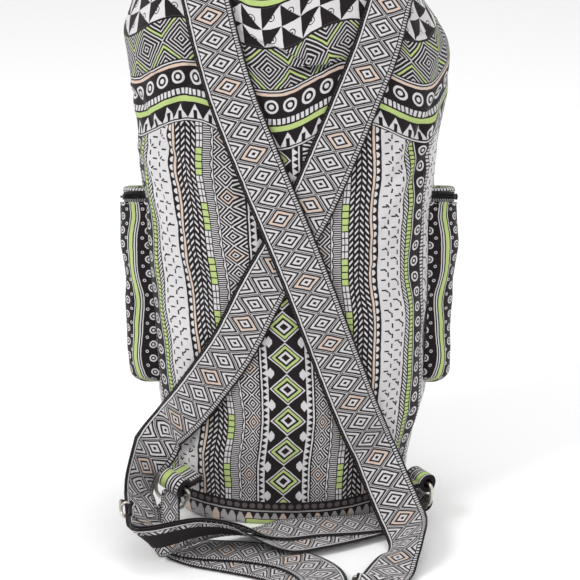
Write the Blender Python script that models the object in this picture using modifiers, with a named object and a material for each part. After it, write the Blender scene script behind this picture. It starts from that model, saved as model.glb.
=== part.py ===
# Slouchy canvas rucksack with crossed shoulder straps, two zipped bellows
# side pockets, ring tabs at its lower corners and a gathered open mouth.
# Metres, +Z up. The strap side faces -Y, the front faces +Y, and the origin
# is the middle of the flat underside of the base panel.

import bpy
import bmesh
import math
from mathutils import Vector, Matrix

MM = 0.001

# ------------------------------------------------------------------ sizes, mm
CLEAR = 0.35                # gap between pieces that touch
WALL = 1.8                  # canvas and its lining
BASE_T = 3.0                # stiffened base panel
SHELL_Z0 = 3.4              # lower edge of the body fabric
SHELL_Z1 = 485.4            # upper edge of the body fabric, under the hem
CASING_Z0, CASING_Z1 = 487.0, 503.0
CASING_T = 4.0              # folded hem
# body outline: height, half width, half depth
BODY = [(0, 82, 58), (4, 90, 64), (12, 96, 66.5), (25, 99.5, 68), (40, 102, 69.5),
        (70, 105.5, 72), (100, 110, 74), (150, 113.5, 76), (200, 115.5, 77.5),
        (240, 116.5, 78), (285, 117.5, 78), (320, 121, 77), (350, 125, 76),
        (375, 127, 74.5), (400, 125, 72), (412, 122.5, 70.8), (424, 119, 69.5),
        (436, 116, 68), (450, 112.5, 65), (462, 108, 60.5), (472, 100, 56), (480, 92, 51.5),
        (486, 86, 48), (491, 82, 46), (497, 80, 45), (503, 79.5, 44.5)]
LEAN = [(0, 0), (52, 0.5), (80, 3.5), (100, 4.8), (172, 4), (240, 2), (300, 2), (344, 3),
        (378, 1.5), (404, -2.5), (426, -4.5), (445, -5.5), (503, -8)]

STRAP_W, STRAP_T = 38.0, 1.6
PLY = 2.2                   # middle to middle of two strap layers that lie together
POCKET_Y0, POCKET_Y1 = -30.0, 50.0
POCKET_R = 14.0
POCKET_Z0, POCKET_Z1 = 109.0, 264.0
ZIP_Z0, ZIP_Z1 = 264.35, 272.25
HOOD_Z0, HOOD_Z1 = 272.6, 277.6
SLUMP = 0.28                # fall of the pockets' upper edges towards the bag's front
STEP_IN = 3.0               # the zip and hood stand this far inside the pocket face
RING_HALF, RING_DROP, RING_WIRE = 16.0, 20.0, 1.5
ROLL_R, ROLL_BORE, ROLL_HALF = 8.0, 4.2, 11.0
WRAP_R = 7.0                # slack loop of strap round a ring
BUCKLE_W, BUCKLE_L = 46.0, 23.0


# ------------------------------------------------------------------ scene
for ob in list(bpy.data.objects):
    bpy.data.objects.remove(ob, do_unlink=True)


def collection(name):
    col = bpy.data.collections.get(name)
    if col is None:
        col = bpy.data.collections.new(name)
        bpy.context.scene.collection.children.link(col)
    return col


PARTS = collection("backpack")
CUTTERS = collection("cutters")


def material(name, colour, rough, metal=0.0):
    mat = bpy.data.materials.new(name)
    mat.use_nodes = True
    shader = mat.node_tree.nodes["Principled BSDF"]
    shader.inputs["Base Color"].default_value = (*colour, 1.0)
    shader.inputs["Roughness"].default_value = rough
    shader.inputs["Metallic"].default_value = metal
    return mat


CANVAS = (0.40, 0.39, 0.38)
DARK = (0.030, 0.022, 0.026)
METAL = (0.62, 0.57, 0.48)


def make(name, mesh, mat, col=PARTS, smooth=None):
    ob = bpy.data.objects.new(name, mesh)
    col.objects.link(ob)
    if mat is not None:
        ob.data.materials.append(mat)
    if smooth is not None:
        mesh.shade_smooth()
        mesh.set_sharp_from_angle(angle=math.radians(smooth))
    if col is CUTTERS:
        ob.hide_render = True
        ob.display_type = "WIRE"
    return ob


def mesh_of(bm, name):
    bmesh.ops.recalc_face_normals(bm, faces=bm.faces)
    mesh = bpy.data.meshes.new(name)
    bm.to_mesh(mesh)
    bm.free()
    return mesh


def boolean(ob, other, operation="DIFFERENCE"):
    mod = ob.modifiers.new(operation.lower(), "BOOLEAN")
    mod.operation = operation
    mod.object = other
    mod.solver = "EXACT"
    return mod


# ------------------------------------------------------------------ body form
def monotone(table, col, x):
    """Smooth, non-overshooting curve through one column of a table."""
    xs = [row[0] for row in table]
    ys = [row[col] for row in table]
    x = min(max(x, xs[0]), xs[-1])
    h = [xs[i + 1] - xs[i] for i in range(len(xs) - 1)]
    d = [(ys[i + 1] - ys[i]) / h[i] for i in range(len(h))]
    m = [d[0]] + [0.0] * (len(xs) - 2) + [d[-1]]
    for i in range(1, len(xs) - 1):
        if d[i - 1] * d[i] > 0:
            w1, w2 = 2 * h[i] + h[i - 1], h[i] + 2 * h[i - 1]
            m[i] = (w1 + w2) / (w1 / d[i - 1] + w2 / d[i])
    i = 0
    while i < len(h) - 1 and x > xs[i + 1]:
        i += 1
    t = (x - xs[i]) / h[i]
    return (ys[i] * (2 * t ** 3 - 3 * t * t + 1) + h[i] * m[i] * (t ** 3 - 2 * t * t + t)
            + ys[i + 1] * (3 * t * t - 2 * t ** 3) + h[i] * m[i + 1] * (t ** 3 - t * t))


def half_w(z):
    return monotone(BODY, 1, z)


def half_d(z):
    return monotone(BODY, 2, z)


def lean(z):
    return monotone(LEAN, 1, z)


def squareness(z):
    return 2.55 - 0.25 * min(max((z - 380.0) / 110.0, 0.0), 1.0)


def body_ring(z, off, count):
    a, b, n = half_w(z) + off, half_d(z) + off, squareness(z)
    out = []
    for k in range(count):
        ang = 2 * math.pi * k / count
        c, s = math.cos(ang), math.sin(ang)
        out.append(Vector((lean(z) + a * math.copysign(abs(c) ** (2 / n), c),
                           b * math.copysign(abs(s) ** (2 / n), s), z)) * MM)
    return out


def loft(rings, caps):
    bm = bmesh.new()
    rows = [[bm.verts.new(p) for p in ring] for ring in rings]
    n = len(rows[0])
    for lo, hi in zip(rows, rows[1:]):
        for k in range(n):
            bm.faces.new((lo[k], lo[(k + 1) % n], hi[(k + 1) % n], hi[k]))
    if caps:
        bm.faces.new(list(reversed(rows[0])))
        bm.faces.new(rows[-1])
    return bm


def back_y(x, z):
    """y of the back panel's outer surface."""
    a, b, n = half_w(z), half_d(z), squareness(z)
    u = min(abs(x - lean(z)) / a, 0.999)
    return -b * (1 - u ** n) ** (1 / n)


def back_normal(x, z):
    e = 1.0
    dydx = (back_y(x + e, z) - back_y(x - e, z)) / (2 * e)
    dydz = (back_y(x, z + e) - back_y(x, z - e)) / (2 * e)
    return Vector((dydx, -1.0, dydz)).normalized()


RING_COUNT = 40
shell_levels = [SHELL_Z0, 8, 14, 24, 40, 70, 105, 150, 200, 245, 290, 322, 350, 375, 400,
                420, 436, 450, 462, 472, 480, SHELL_Z1]
mesh = mesh_of(loft([body_ring(z, 0, RING_COUNT) for z in shell_levels], False), "bag_shell")
shell = make("bag_shell", mesh, material("bag_shell", CANVAS, 0.85), smooth=50)
solid = shell.modifiers.new("wall", "SOLIDIFY")
solid.thickness = WALL * MM
solid.offset = -1.0
solid.use_even_offset = False

mesh = mesh_of(loft([[Vector((p.x, p.y, z * MM)) for p in body_ring(3.6, -WALL, RING_COUNT)]
                     for z in (0.0, BASE_T)], True), "base_panel")
make("base_panel", mesh, material("base_panel", DARK, 0.9), smooth=50)

# folded hem round the mouth, sewn on top of the body fabric
casing_levels = [CASING_Z0, 489, 493, 497, 500.5, CASING_Z1]
swell = [1.0, 1.4, 2.2, 2.7, 2.9, 1.5]
mesh = mesh_of(loft([body_ring(z, s, RING_COUNT) for z, s in zip(casing_levels, swell)], False),
               "mouth_casing")
casing = make("mouth_casing", mesh, material("mouth_casing", CANVAS, 0.85), smooth=50)
solid = casing.modifiers.new("wall", "SOLIDIFY")
solid.thickness = CASING_T * MM
solid.offset = -1.0
solid.use_even_offset = False

# eyelets: where the cord of the mouth would come out at the front
EYELET_X, EYELET_Z = 14.0, 494.5
for side, sign in (("left", -1), ("right", 1)):
    x = lean(EYELET_Z) + sign * EYELET_X
    y = -back_y(x, EYELET_Z) + 3.0
    bpy.ops.mesh.primitive_cylinder_add(vertices=16, radius=2.6 * MM, depth=30 * MM,
                                        location=(x * MM, y * MM, EYELET_Z * MM),
                                        rotation=(math.pi / 2, 0, 0))
    hole = bpy.context.object
    hole.name = "hole_" + side
    for c in list(hole.users_collection):
        c.objects.unlink(hole)
    CUTTERS.objects.link(hole)
    hole.hide_render = True
    hole.display_type = "WIRE"
    boolean(casing, hole)
    # turned ring: profile in X-Z, outer side run from top to bottom
    prof = [(4.6, 0.9), (5.0, 0.5), (5.0, 0.0), (2.3, 0.0), (2.3, 0.6), (2.8, 1.1), (3.8, 1.2)]
    bm = bmesh.new()
    vs = [bm.verts.new((r * MM, 0, h * MM)) for r, h in prof]
    for i in range(len(vs)):
        bm.edges.new((vs[i], vs[(i + 1) % len(vs)]))
    mesh = bpy.data.meshes.new("eyelet_" + side)
    bm.to_mesh(mesh)
    bm.free()
    eye = make("eyelet_" + side, mesh, material("eyelet_" + side, METAL, 0.3, 1.0))
    eye.location = (x * MM, y * MM, EYELET_Z * MM)
    eye.rotation_euler = (-math.pi / 2, 0, 0)
    scr = eye.modifiers.new("turn", "SCREW")
    scr.steps = scr.render_steps = 24
    scr.use_merge_vertices = True
    scr.merge_threshold = 0.00001
    scr.use_normal_calculate = True


# ------------------------------------------------------------------ straps
def catmull(p, t):
    """Centripetal-like smooth point between p[1] and p[2]."""
    p0, p1, p2, p3 = p
    return 0.5 * ((2 * p1) + (p2 - p0) * t + (2 * p0 - 5 * p1 + 4 * p2 - p3) * t * t
                  + (3 * p1 - p0 - 3 * p2 + p3) * t ** 3)


def resample(stations, step):
    """stations: (point, width direction, width). Spaced finely along a spline."""
    out = []
    n = len(stations)
    for i in range(n - 1):
        idx = [max(i - 1, 0), i, i + 1, min(i + 2, n - 1)]
        pts = [stations[j][0] for j in idx]
        length = (pts[2] - pts[1]).length
        k = max(1, int(round(length / step)))
        for j in range(k):
            t = j / k
            w = stations[i][1].lerp(stations[i + 1][1], t)
            out.append((catmull(pts, t), w, stations[i][2] * (1 - t) + stations[i + 1][2] * t))
    out.append((stations[-1][0].copy(), stations[-1][1].copy(), stations[-1][2]))
    return out


def frames(path):
    """Tangent, width direction and face normal at each point of a resampled path."""
    res = []
    for i, (p, w, width) in enumerate(path):
        t = (path[min(i + 1, len(path) - 1)][0] - path[max(i - 1, 0)][0]).normalized()
        w = (w - t * w.dot(t)).normalized()
        res.append((p, t, w, t.cross(w), width))
    return res


def ribbon(frs, thick):
    bm = bmesh.new()
    rows = []
    for p, t, w, n, width in frs:
        rows.append([bm.verts.new((p + w * a * width / 2 + n * b * thick / 2) * MM)
                     for a, b in ((-1, -1), (1, -1), (1, 1), (-1, 1))])
    # both wide faces are split along the same diagonal, so a twisted strap keeps its thickness
    for lo, hi in zip(rows, rows[1:]):
        bm.faces.new((lo[0], lo[1], hi[1]))
        bm.faces.new((lo[0], hi[1], hi[0]))
        bm.faces.new((lo[1], lo[2], hi[2], hi[1]))
        bm.faces.new((lo[2], lo[3], hi[2]))
        bm.faces.new((lo[3], hi[3], hi[2]))
        bm.faces.new((lo[3], lo[0], hi[0], hi[3]))
    bm.faces.new(list(reversed(rows[0])))
    bm.faces.new(rows[-1])
    return bm


def on_back(points, lift):
    """Stations of a strap that lies on the back panel: (x, z) pairs."""
    out = []
    for i, (x, z) in enumerate(points):
        n = back_normal(x, z)
        p = Vector((x, back_y(x, z), z)) + n * (STRAP_T / 2 + lift[i])
        a = points[max(i - 1, 0)]
        b = points[min(i + 1, len(points) - 1)]
        t = Vector((b[0] - a[0], back_y(*b) - back_y(*a), b[1] - a[1])).normalized()
        out.append((p, n.cross(t).normalized(), STRAP_W))
    return out


def V(*a):
    return Vector(a)


# left strap: sewn at the upper left, crosses to the lower right
LEFT_BACK = [(-69.5, 470), (-66, 456), (-62.5, 442), (-60, 432), (-51.4, 395), (-40.2, 357),
             (-25.1, 318), (-9.5, 279), (3.3, 247), (18.9, 206), (35.5, 159), (52.5, 111),
             (61, 88)]
LEFT_LIFT = [0.8, 0.8, 0.8, 0.8, 0.8, 0.9, 2.4, 3.3, 3.4, 3.3, 2.0, 1.2, 2.4]
LEFT_FREE = [(V(71.4, -64.6, 64), V(.78, .39, .43), 38),
             (V(83, -77.5, 39), V(.92, .15, .355), 38),
             (V(92, -93, 22), V(.90, .10, .42), 38),
             (V(97, -111, 15), V(.80, .10, .60), 38),
             (V(94, -135, 14), V(.80, -.10, .59), 38),
             (V(85.6, -152, 7.4), V(.92, -.30, .2), 38)]
LEFT_RUN0, LEFT_RUN1 = V(80.5, -165, 4.7), V(63.8, -211, 4.7)     # straight stretch
LEFT_RUN_W = V(.94, -.34, 0)
LEFT_DOWN = [(V(58, -222, 8.6), V(.75, -.6, .38), 38),
             (V(47, -227, 11.0), V(.15, -.85, .50), 38),
             (V(32, -219, 8.4), V(-.55, -.75, .35), 38),
             (V(21.5, -199, 4.4), V(-.78, -.60, .12), 38),
             (V(12, -175, 1.6), V(-.60, -.80, 0), 38),
             (V(-6, -157, 1.3), V(-.42, -.9, 0), 38),
             (V(-34, -143, 1.3), V(-.36, -.93, 0), 38),
             (V(-66, -130, 1.3), V(-.36, -.93, 0), 38),
             (V(-81, -122, 1.4), V(-.55, -.83, 0), 32),
             (V(-91, -110, 1.9), V(-.90, -.42, 0), 23),
             (V(-93, -97, 4.4), V(-.98, .05, .12), 16)]

# right strap: sewn at the upper right, crosses under the other to the lower left
RIGHT_BACK = [(88, 470), (86, 456), (82.4, 441), (79.3, 431), (68.4, 394), (53.7, 357),
              (37.8, 318), (21, 279), (4.1, 247), (-18.6, 206), (-41, 159), (-61, 127),
              (-75.5, 104), (-86, 88), (-93.5, 75)]
RIGHT_LIFT = [0.9, 0.9, 0.8, 0.8, 0.6, 0.5, 0.5, 0.5, 0.5, 0.5, 0.6, 1.2, 2.2, 3.2, 4.2]
RIGHT_FREE = [(V(-106, -49, 62), V(.55, -.42, -.62), 38),
              (V(-112.5, -59, 55), V(.50, .10, -.80), 38),
              (V(-117, -72, 46.5), V(.47, .42, -.72), 38),
              (V(-118.5, -83, 38), V(.52, .42, -.72), 38)]
RIGHT_MID = V(-113.5, -114, 26.4)
RIGHT_DIR = V(.10, -.97, -.20).normalized()
RIGHT_RUN_W = V(.70, .21, -.68)
RIGHT_DOWN = [(V(-102, -147, 21), V(.35, .45, -.82), 38),
              (V(-86, -143, 23.5), V(0, .50, -.86), 38),
              (V(-68, -129, 22.0), V(-.20, .60, -.77), 38),
              (V(-45, -119, 18.5), V(-.10, .80, -.60), 38),
              (V(-20, -117, 11.2), V(0, .96, -.28), 38),
              (V(3, -115, 6.6), V(0, 1, 0), 38),
              (V(30, -104, 6.2), V(-.38, .92, 0), 38),
              (V(56, -88.5, 5.4), V(-.48, .88, 0), 38),
              (V(79, -74.5, 5.2), V(-.5, .86, 0), 36),
              (V(95, -65, 7.4), V(-.5, .86, 0), 25)]

# rings and tabs: middle of the fabric roll, its axis, the way the ring hangs
TAB_L, AXIS_L = V(-90, -76, 42), V(.80, -.50, -.33).normalized()
TAB_R, AXIS_R = V(110, -55, 36), V(-.50, .86, 0).normalized()


def hang(axis):
    down = V(0, 0, -1)
    return (down - axis * down.dot(axis)).normalized()


def wrap(centre, axis, width_dir, enter):
    """Half turn of strap round the ring's lower side, entering under it."""
    h = hang(axis)
    t = enter.normalized()
    t = (t - axis * t.dot(axis)).normalized()
    n = t.cross(width_dir)
    pts = []
    for k in range(9):
        a = math.pi * k / 8
        pts.append((centre - n * WRAP_R * math.cos(a) + t * WRAP_R * math.sin(a),
                    width_dir.copy(), 15.0))
    return pts


REACH, OPEN = 32.0, 0.80              # how far before the ring the two plies part, and how much


def strap(name, back, lift, free, run0, run1, run_w, down, tab, axis, turn_w, enter,
          side_shift, shift_from, keep_end):
    stations = on_back(back, lift) + free
    run = [(run0.lerp(run1, k), run_w, STRAP_W) for k in (-0.1, 0, 0.25, 0.5, 0.75, 1, 1.1)]
    # down: from the slide to the ring; back again: one ply above, shifted sideways
    h = hang(axis)
    ring_mid = tab + h * (RING_DROP - 1.3)
    loop = wrap(ring_mid, axis, turn_w, enter)
    fore = run + down
    pre = frames(fore + loop[:1])
    ret = []
    count = len(pre) - 1
    total = sum((pre[i + 1][0] - pre[i][0]).length for i in range(count))
    run_len = 0.0
    for i in range(count):
        p, t, w, n, width = pre[i]
        f = run_len / total
        left = total - run_len
        rise = PLY + max(0.0, 1 - left / REACH) * (2 * WRAP_R - PLY) * OPEN
        shift = side_shift * max(0.0, math.sin(math.pi * min(max((f - shift_from) / (0.84 - shift_from), 0), 1)))
        ret.append((p + n * rise + w * shift, w.copy(), width))
        run_len += (pre[i + 1][0] - pre[i][0]).length
    ret = ret[keep_end:]
    whole = stations + fore + loop + list(reversed(ret))
    path = resample(whole, 11.0)
    mesh = mesh_of(ribbon(frames(path), STRAP_T), name)
    return make(name, mesh, material(name, CANVAS, 0.85), smooth=40)


strap("strap_left", LEFT_BACK, LEFT_LIFT, LEFT_FREE, LEFT_RUN0, LEFT_RUN1, LEFT_RUN_W,
      LEFT_DOWN, TAB_L, AXIS_L, -AXIS_L, V(.53, .847, 0), -20.0, 0.30, 4)
strap("strap_right", RIGHT_BACK, RIGHT_LIFT, RIGHT_FREE,
      RIGHT_MID - RIGHT_DIR * 24, RIGHT_MID + RIGHT_DIR * 24, RIGHT_RUN_W,
      RIGHT_DOWN, TAB_R, AXIS_R, AXIS_R, V(.86, .50, 0), 20.0, 0.42, 4)


# ------------------------------------------------------------------ tabs and rings
def basis(x, y, z, at):
    m = Matrix((x, y, z)).transposed().to_4x4()
    m.translation = at * MM
    return m


def curve_object(name, splines, bevel, cyclic=True, extrude=0.0, dims="3D", res=2):
    cu = bpy.data.curves.new(name, "CURVE")
    cu.dimensions = dims
    for pts in splines:
        sp = cu.splines.new("POLY")
        sp.points.add(len(pts) - 1)
        for q, p in zip(sp.points, pts):
            q.co = (p[0] * MM, p[1] * MM, (p[2] if len(p) > 2 else 0.0) * MM, 1.0)
        sp.use_cyclic_u = cyclic
    if extrude:
        cu.fill_mode = "BOTH"
        cu.extrude = extrude * MM
    else:
        cu.bevel_depth = bevel * MM
        cu.bevel_resolution = res
        cu.use_fill_caps = not cyclic
    return bpy.data.objects.new(name, cu)


def to_mesh(ob, name, mat, col=PARTS, smooth=40):
    """Turn a curve object into a welded mesh object in the same place."""
    bpy.context.scene.collection.objects.link(ob)
    bpy.context.view_layer.update()
    deps = bpy.context.evaluated_depsgraph_get()
    mesh = bpy.data.meshes.new_from_object(ob.evaluated_get(deps))
    world = ob.matrix_world.copy()
    bpy.data.objects.remove(ob, do_unlink=True)
    bm = bmesh.new()
    bm.from_mesh(mesh)
    bmesh.ops.remove_doubles(bm, verts=bm.verts, dist=0.00001)
    bmesh.ops.recalc_face_normals(bm, faces=bm.faces)
    bm.to_mesh(mesh)
    bm.free()
    mesh.materials.clear()
    new = make(name, mesh, mat, col, smooth)
    new.matrix_world = world
    return new


def body_cutter():
    levels = [-6, 0, 4, 8, 14, 24, 40, 70, 105, 150, 200, 245, 290, 322, 350]
    mesh = mesh_of(loft([body_ring(z, CLEAR, RING_COUNT) for z in levels], True), "body_clear")
    return make("body_clear", mesh, None, CUTTERS)


BODY_CLEAR = body_cutter()


def loop_profile(r_out, r_in, tail, thick, count=20):
    """Outline of a folded loop with a flat tail, and its eye."""
    a0 = math.asin(thick / r_out)
    outer = []
    for k in range(count + 1):
        a = a0 + (2 * math.pi - 2 * a0) * k / count
        outer.append((r_out * math.cos(a), r_out * math.sin(a)))
    outer += [(tail, -thick), (tail, thick)]
    inner = [(r_in * math.cos(2 * math.pi * k / 16), r_in * math.sin(2 * math.pi * k / 16))
             for k in range(16)]
    return [outer, inner]


def tab(name, at, axis, inward, tail):
    """Rolled fabric tab: a tube round the ring's bar and a tongue into the corner seam."""
    x = inward - axis * inward.dot(axis)
    x.normalize()
    y = axis.cross(x)
    cu = curve_object(name, loop_profile(ROLL_R, ROLL_BORE, tail, 2.0), 0, extrude=ROLL_HALF,
                      dims="2D")
    cu.matrix_world = basis(x, y, axis, at)
    ob = to_mesh(cu, name, material(name, DARK, 0.85))
    boolean(ob, BODY_CLEAR)
    return ob


def d_ring(name, at, axis):
    """Ring hanging from the roll: a straight bar and a flattened arc."""
    h = hang(axis)
    pts = []
    for k in range(25):
        a = math.pi * k / 24
        c, s = math.cos(a), math.sin(a)
        e = 2 / 3.6
        pts.append(((RING_HALF * math.copysign(abs(c) ** e, c)), RING_DROP * abs(s) ** e, 0.0))
    pts += [(-RING_HALF + 3, -0.0001, 0.0), (0, -0.0001, 0), (RING_HALF - 3, -0.0001, 0.0)]
    cu = curve_object(name, [pts], RING_WIRE)
    cu.matrix_world = basis(axis, h, axis.cross(h), at)
    return to_mesh(cu, name, material(name, METAL, 0.3, 1.0), smooth=60)


tab("tab_left", TAB_L, AXIS_L, V(.53, .847, 0), 38)
tab("tab_right", TAB_R, AXIS_R, V(-.86, -.50, 0), 24)
d_ring("ring_left", TAB_L, AXIS_L)
d_ring("ring_right", TAB_R, AXIS_R)


# ------------------------------------------------------------------ strap slides
def buckle(name, at, t, w, loop_name):
    """Slide with a raised centre bar, and the strap's sewn end loop on that bar."""
    t = t.normalized()
    w = (w - t * w.dot(t)).normalized()
    n = t.cross(w)
    mat = basis(t, w, n, at)
    frame_n = -(STRAP_T / 2 + 0.35 + 1.1)
    bar_n = STRAP_T / 2 + 0.35 + 3.0
    outer, inner = [], []
    for dst, hx, hy, r in ((outer, BUCKLE_L / 2, BUCKLE_W / 2, 4.0),
                           (inner, BUCKLE_L / 2 - 3, BUCKLE_W / 2 - 3.2, 2.0)):
        for cx, cy, a0 in ((hx - r, hy - r, 0), (-hx + r, hy - r, 90), (-hx + r, -hy + r, 180),
                           (hx - r, -hy + r, 270)):
            for k in range(4):
                a = math.radians(a0 + 30 * k)
                dst.append((cx + r * math.cos(a), cy + r * math.sin(a)))
    cu = curve_object(name, [outer, inner], 0, extrude=1.1, dims="2D")
    cu.matrix_world = mat @ Matrix.Translation((0, 0, frame_n * MM))
    ob = to_mesh(cu, name, material(name, METAL, 0.3, 1.0))
    # posts and raised bar
    bm = bmesh.new()
    for s in (-1, 1):
        bmesh.ops.create_cube(bm, size=1.0, matrix=Matrix.Translation(
            (0, s * (BUCKLE_W / 2 - 1.6) * MM, (frame_n + bar_n) / 2 * MM))
            @ Matrix.Diagonal((3.0 * MM, 2.4 * MM, (bar_n - frame_n) * MM, 1)))
    posts = make(name + "_posts", mesh_of(bm, name + "_posts"), None, CUTTERS)
    posts.matrix_world = mat
    bm = bmesh.new()
    bmesh.ops.create_cone(bm, cap_ends=True, segments=12, radius1=1.3 * MM, radius2=1.3 * MM,
                          depth=(BUCKLE_W - 1.0) * MM,
                          matrix=Matrix.Translation((0, 0, bar_n * MM))
                          @ Matrix.Rotation(math.pi / 2, 4, "X"))
    bar = make(name + "_bar", mesh_of(bm, name + "_bar"), None, CUTTERS)
    bar.matrix_world = mat
    side = basis(t, w, n, at)
    # side pieces join the frame to the posts
    boolean(ob, posts, "UNION")
    boolean(ob, bar, "UNION")
    # sewn end loop of the strap on the raised bar
    cu = curve_object(loop_name, loop_profile(3.0, 1.65, 14.0, 0.7, 14), 0,
                      extrude=STRAP_W / 2 - 0.6, dims="2D")
    cu.matrix_world = mat @ Matrix.Translation((0, 0, bar_n * MM)) @ Matrix(
        ((1, 0, 0, 0), (0, 0, -1, 0), (0, 1, 0, 0), (0, 0, 0, 1)))
    to_mesh(cu, loop_name, material(loop_name, CANVAS, 0.85))
    return ob


buckle("buckle_left", RIGHT_MID, RIGHT_DIR, RIGHT_RUN_W, "strap_end_left")
buckle("buckle_right", LEFT_RUN0.lerp(LEFT_RUN1, 0.5), LEFT_RUN1 - LEFT_RUN0, LEFT_RUN_W,
       "strap_end_right")


# ------------------------------------------------------------------ side pockets
def pocket_face(z, sign):
    return 128.0 + (z - 117.0) * 4.6 / 141.0 + (5.2 if sign > 0 else 0.0)


def slump(y, z):
    """Height of a pocket point: the upper part falls away towards the front."""
    return z - SLUMP * (y - POCKET_Y0) * min(max((z - 200.0) / 62.0, 0.0), 1.0)


def u_outline(z, inset, deep, sign):
    """Plan of the pocket at one height: rounded outer corners, runs in past the body wall."""
    x1 = pocket_face(z, sign) - inset
    y0, y1 = POCKET_Y0 + inset, POCKET_Y1 - inset
    r = max(POCKET_R - inset, 2.0)
    pts = [(deep, y0)]
    for k in range(7):
        a = math.radians(-90 + 15 * k)
        pts.append((x1 - r + r * math.cos(a), y0 + r + r * math.sin(a)))
    for k in range(7):
        a = math.radians(15 * k)
        pts.append((x1 - r + r * math.cos(a), y1 - r + r * math.sin(a)))
    pts.append((deep, y1))
    return pts


def u_block(name, levels, deep, sign, mat, col):
    rings = [[V(sign * x, y, slump(y, z)) * MM for x, y in u_outline(zf, inset, deep, sign)]
             for z, zf, inset in levels]
    mesh = mesh_of(loft(rings, True), name)
    return make(name, mesh, mat, col, smooth=40 if col is PARTS else None)


for side, sign in (("left", -1), ("right", 1)):
    # pocket: walls and bottom, open towards the body and at the top under the zip
    lv = [(POCKET_Z0, POCKET_Z0, 7.0), (POCKET_Z0 + 1.5, POCKET_Z0, 3.2),
          (POCKET_Z0 + 4.5, POCKET_Z0 + 4.5, 0.9), (POCKET_Z0 + 9, POCKET_Z0 + 9, 0.0),
          (200, 200, 0.0), (262, 262, 0.0), (POCKET_Z1, POCKET_Z1, 0.0)]
    ob = u_block("pocket_" + side, lv, 70.0, sign, material("pocket_" + side, DARK, 0.85), PARTS)
    lv = [(POCKET_Z0 + WALL, POCKET_Z0 + WALL, 7.0 + WALL * 0.6),
          (POCKET_Z0 + 6.5, POCKET_Z0 + 6.5, 0.6 + WALL), (POCKET_Z0 + 10, POCKET_Z0 + 10, WALL),
          (200, 200, WALL), (262, 262, WALL),
          (POCKET_Z1 - 1.0, POCKET_Z1 - 1.0, WALL + 2.0), (POCKET_Z1 + 4, POCKET_Z1 + 4, WALL + 2.0)]
    cav = u_block("pocket_cut_" + side, lv, 60.0, sign, None, CUTTERS)
    boolean(ob, cav)
    boolean(ob, BODY_CLEAR)
    # zip tape: a band round the three free sides
    lv = [(ZIP_Z0, ZIP_Z0, STEP_IN), (ZIP_Z1, ZIP_Z1, STEP_IN)]
    ob = u_block("zip_tape_" + side, lv, 70.0, sign, material("zip_tape_" + side, DARK, 0.8),
                 PARTS)
    lv = [(ZIP_Z0 - 4, ZIP_Z0, STEP_IN + 1.6), (ZIP_Z1 + 4, ZIP_Z1, STEP_IN + 1.6)]
    cav = u_block("zip_cut_" + side, lv, 60.0, sign, None, CUTTERS)
    boolean(ob, cav)
    boolean(ob, BODY_CLEAR)
    # hood: the strip of pocket fabric above the zip
    lv = [(HOOD_Z0, HOOD_Z0, STEP_IN), (HOOD_Z0 + 2.2, HOOD_Z0 + 2.2, STEP_IN),
          (HOOD_Z1 - 1.2, HOOD_Z1, STEP_IN + 3.2), (HOOD_Z1, HOOD_Z1, STEP_IN + 7.5)]
    ob = u_block("pocket_hood_" + side, lv, 70.0, sign,
                 material("pocket_hood_" + side, CANVAS, 0.85), PARTS)
    lv = [(HOOD_Z0 - 4, HOOD_Z0, STEP_IN + WALL), (HOOD_Z0 + 1.2, HOOD_Z0 + 2.2, STEP_IN + WALL),
          (HOOD_Z1 - 1.6 - 1.2, HOOD_Z1, STEP_IN + WALL + 3.0)]
    cav = u_block("hood_cut_" + side, lv, 60.0, sign, None, CUTTERS)
    boolean(ob, cav)
    boolean(ob, BODY_CLEAR)


# ------------------------------------------------------------------ zip sliders and pulls
SLIDER_Y = 22.0
SLIDER_Z = 268.3


def cube(bm, cx, cy, cz, sx, sy, sz):
    bmesh.ops.create_cube(bm, size=1.0, matrix=Matrix.Translation((cx * MM, cy * MM, cz * MM))
                          @ Matrix.Diagonal((sx * MM, sy * MM, sz * MM, 1)))


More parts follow.
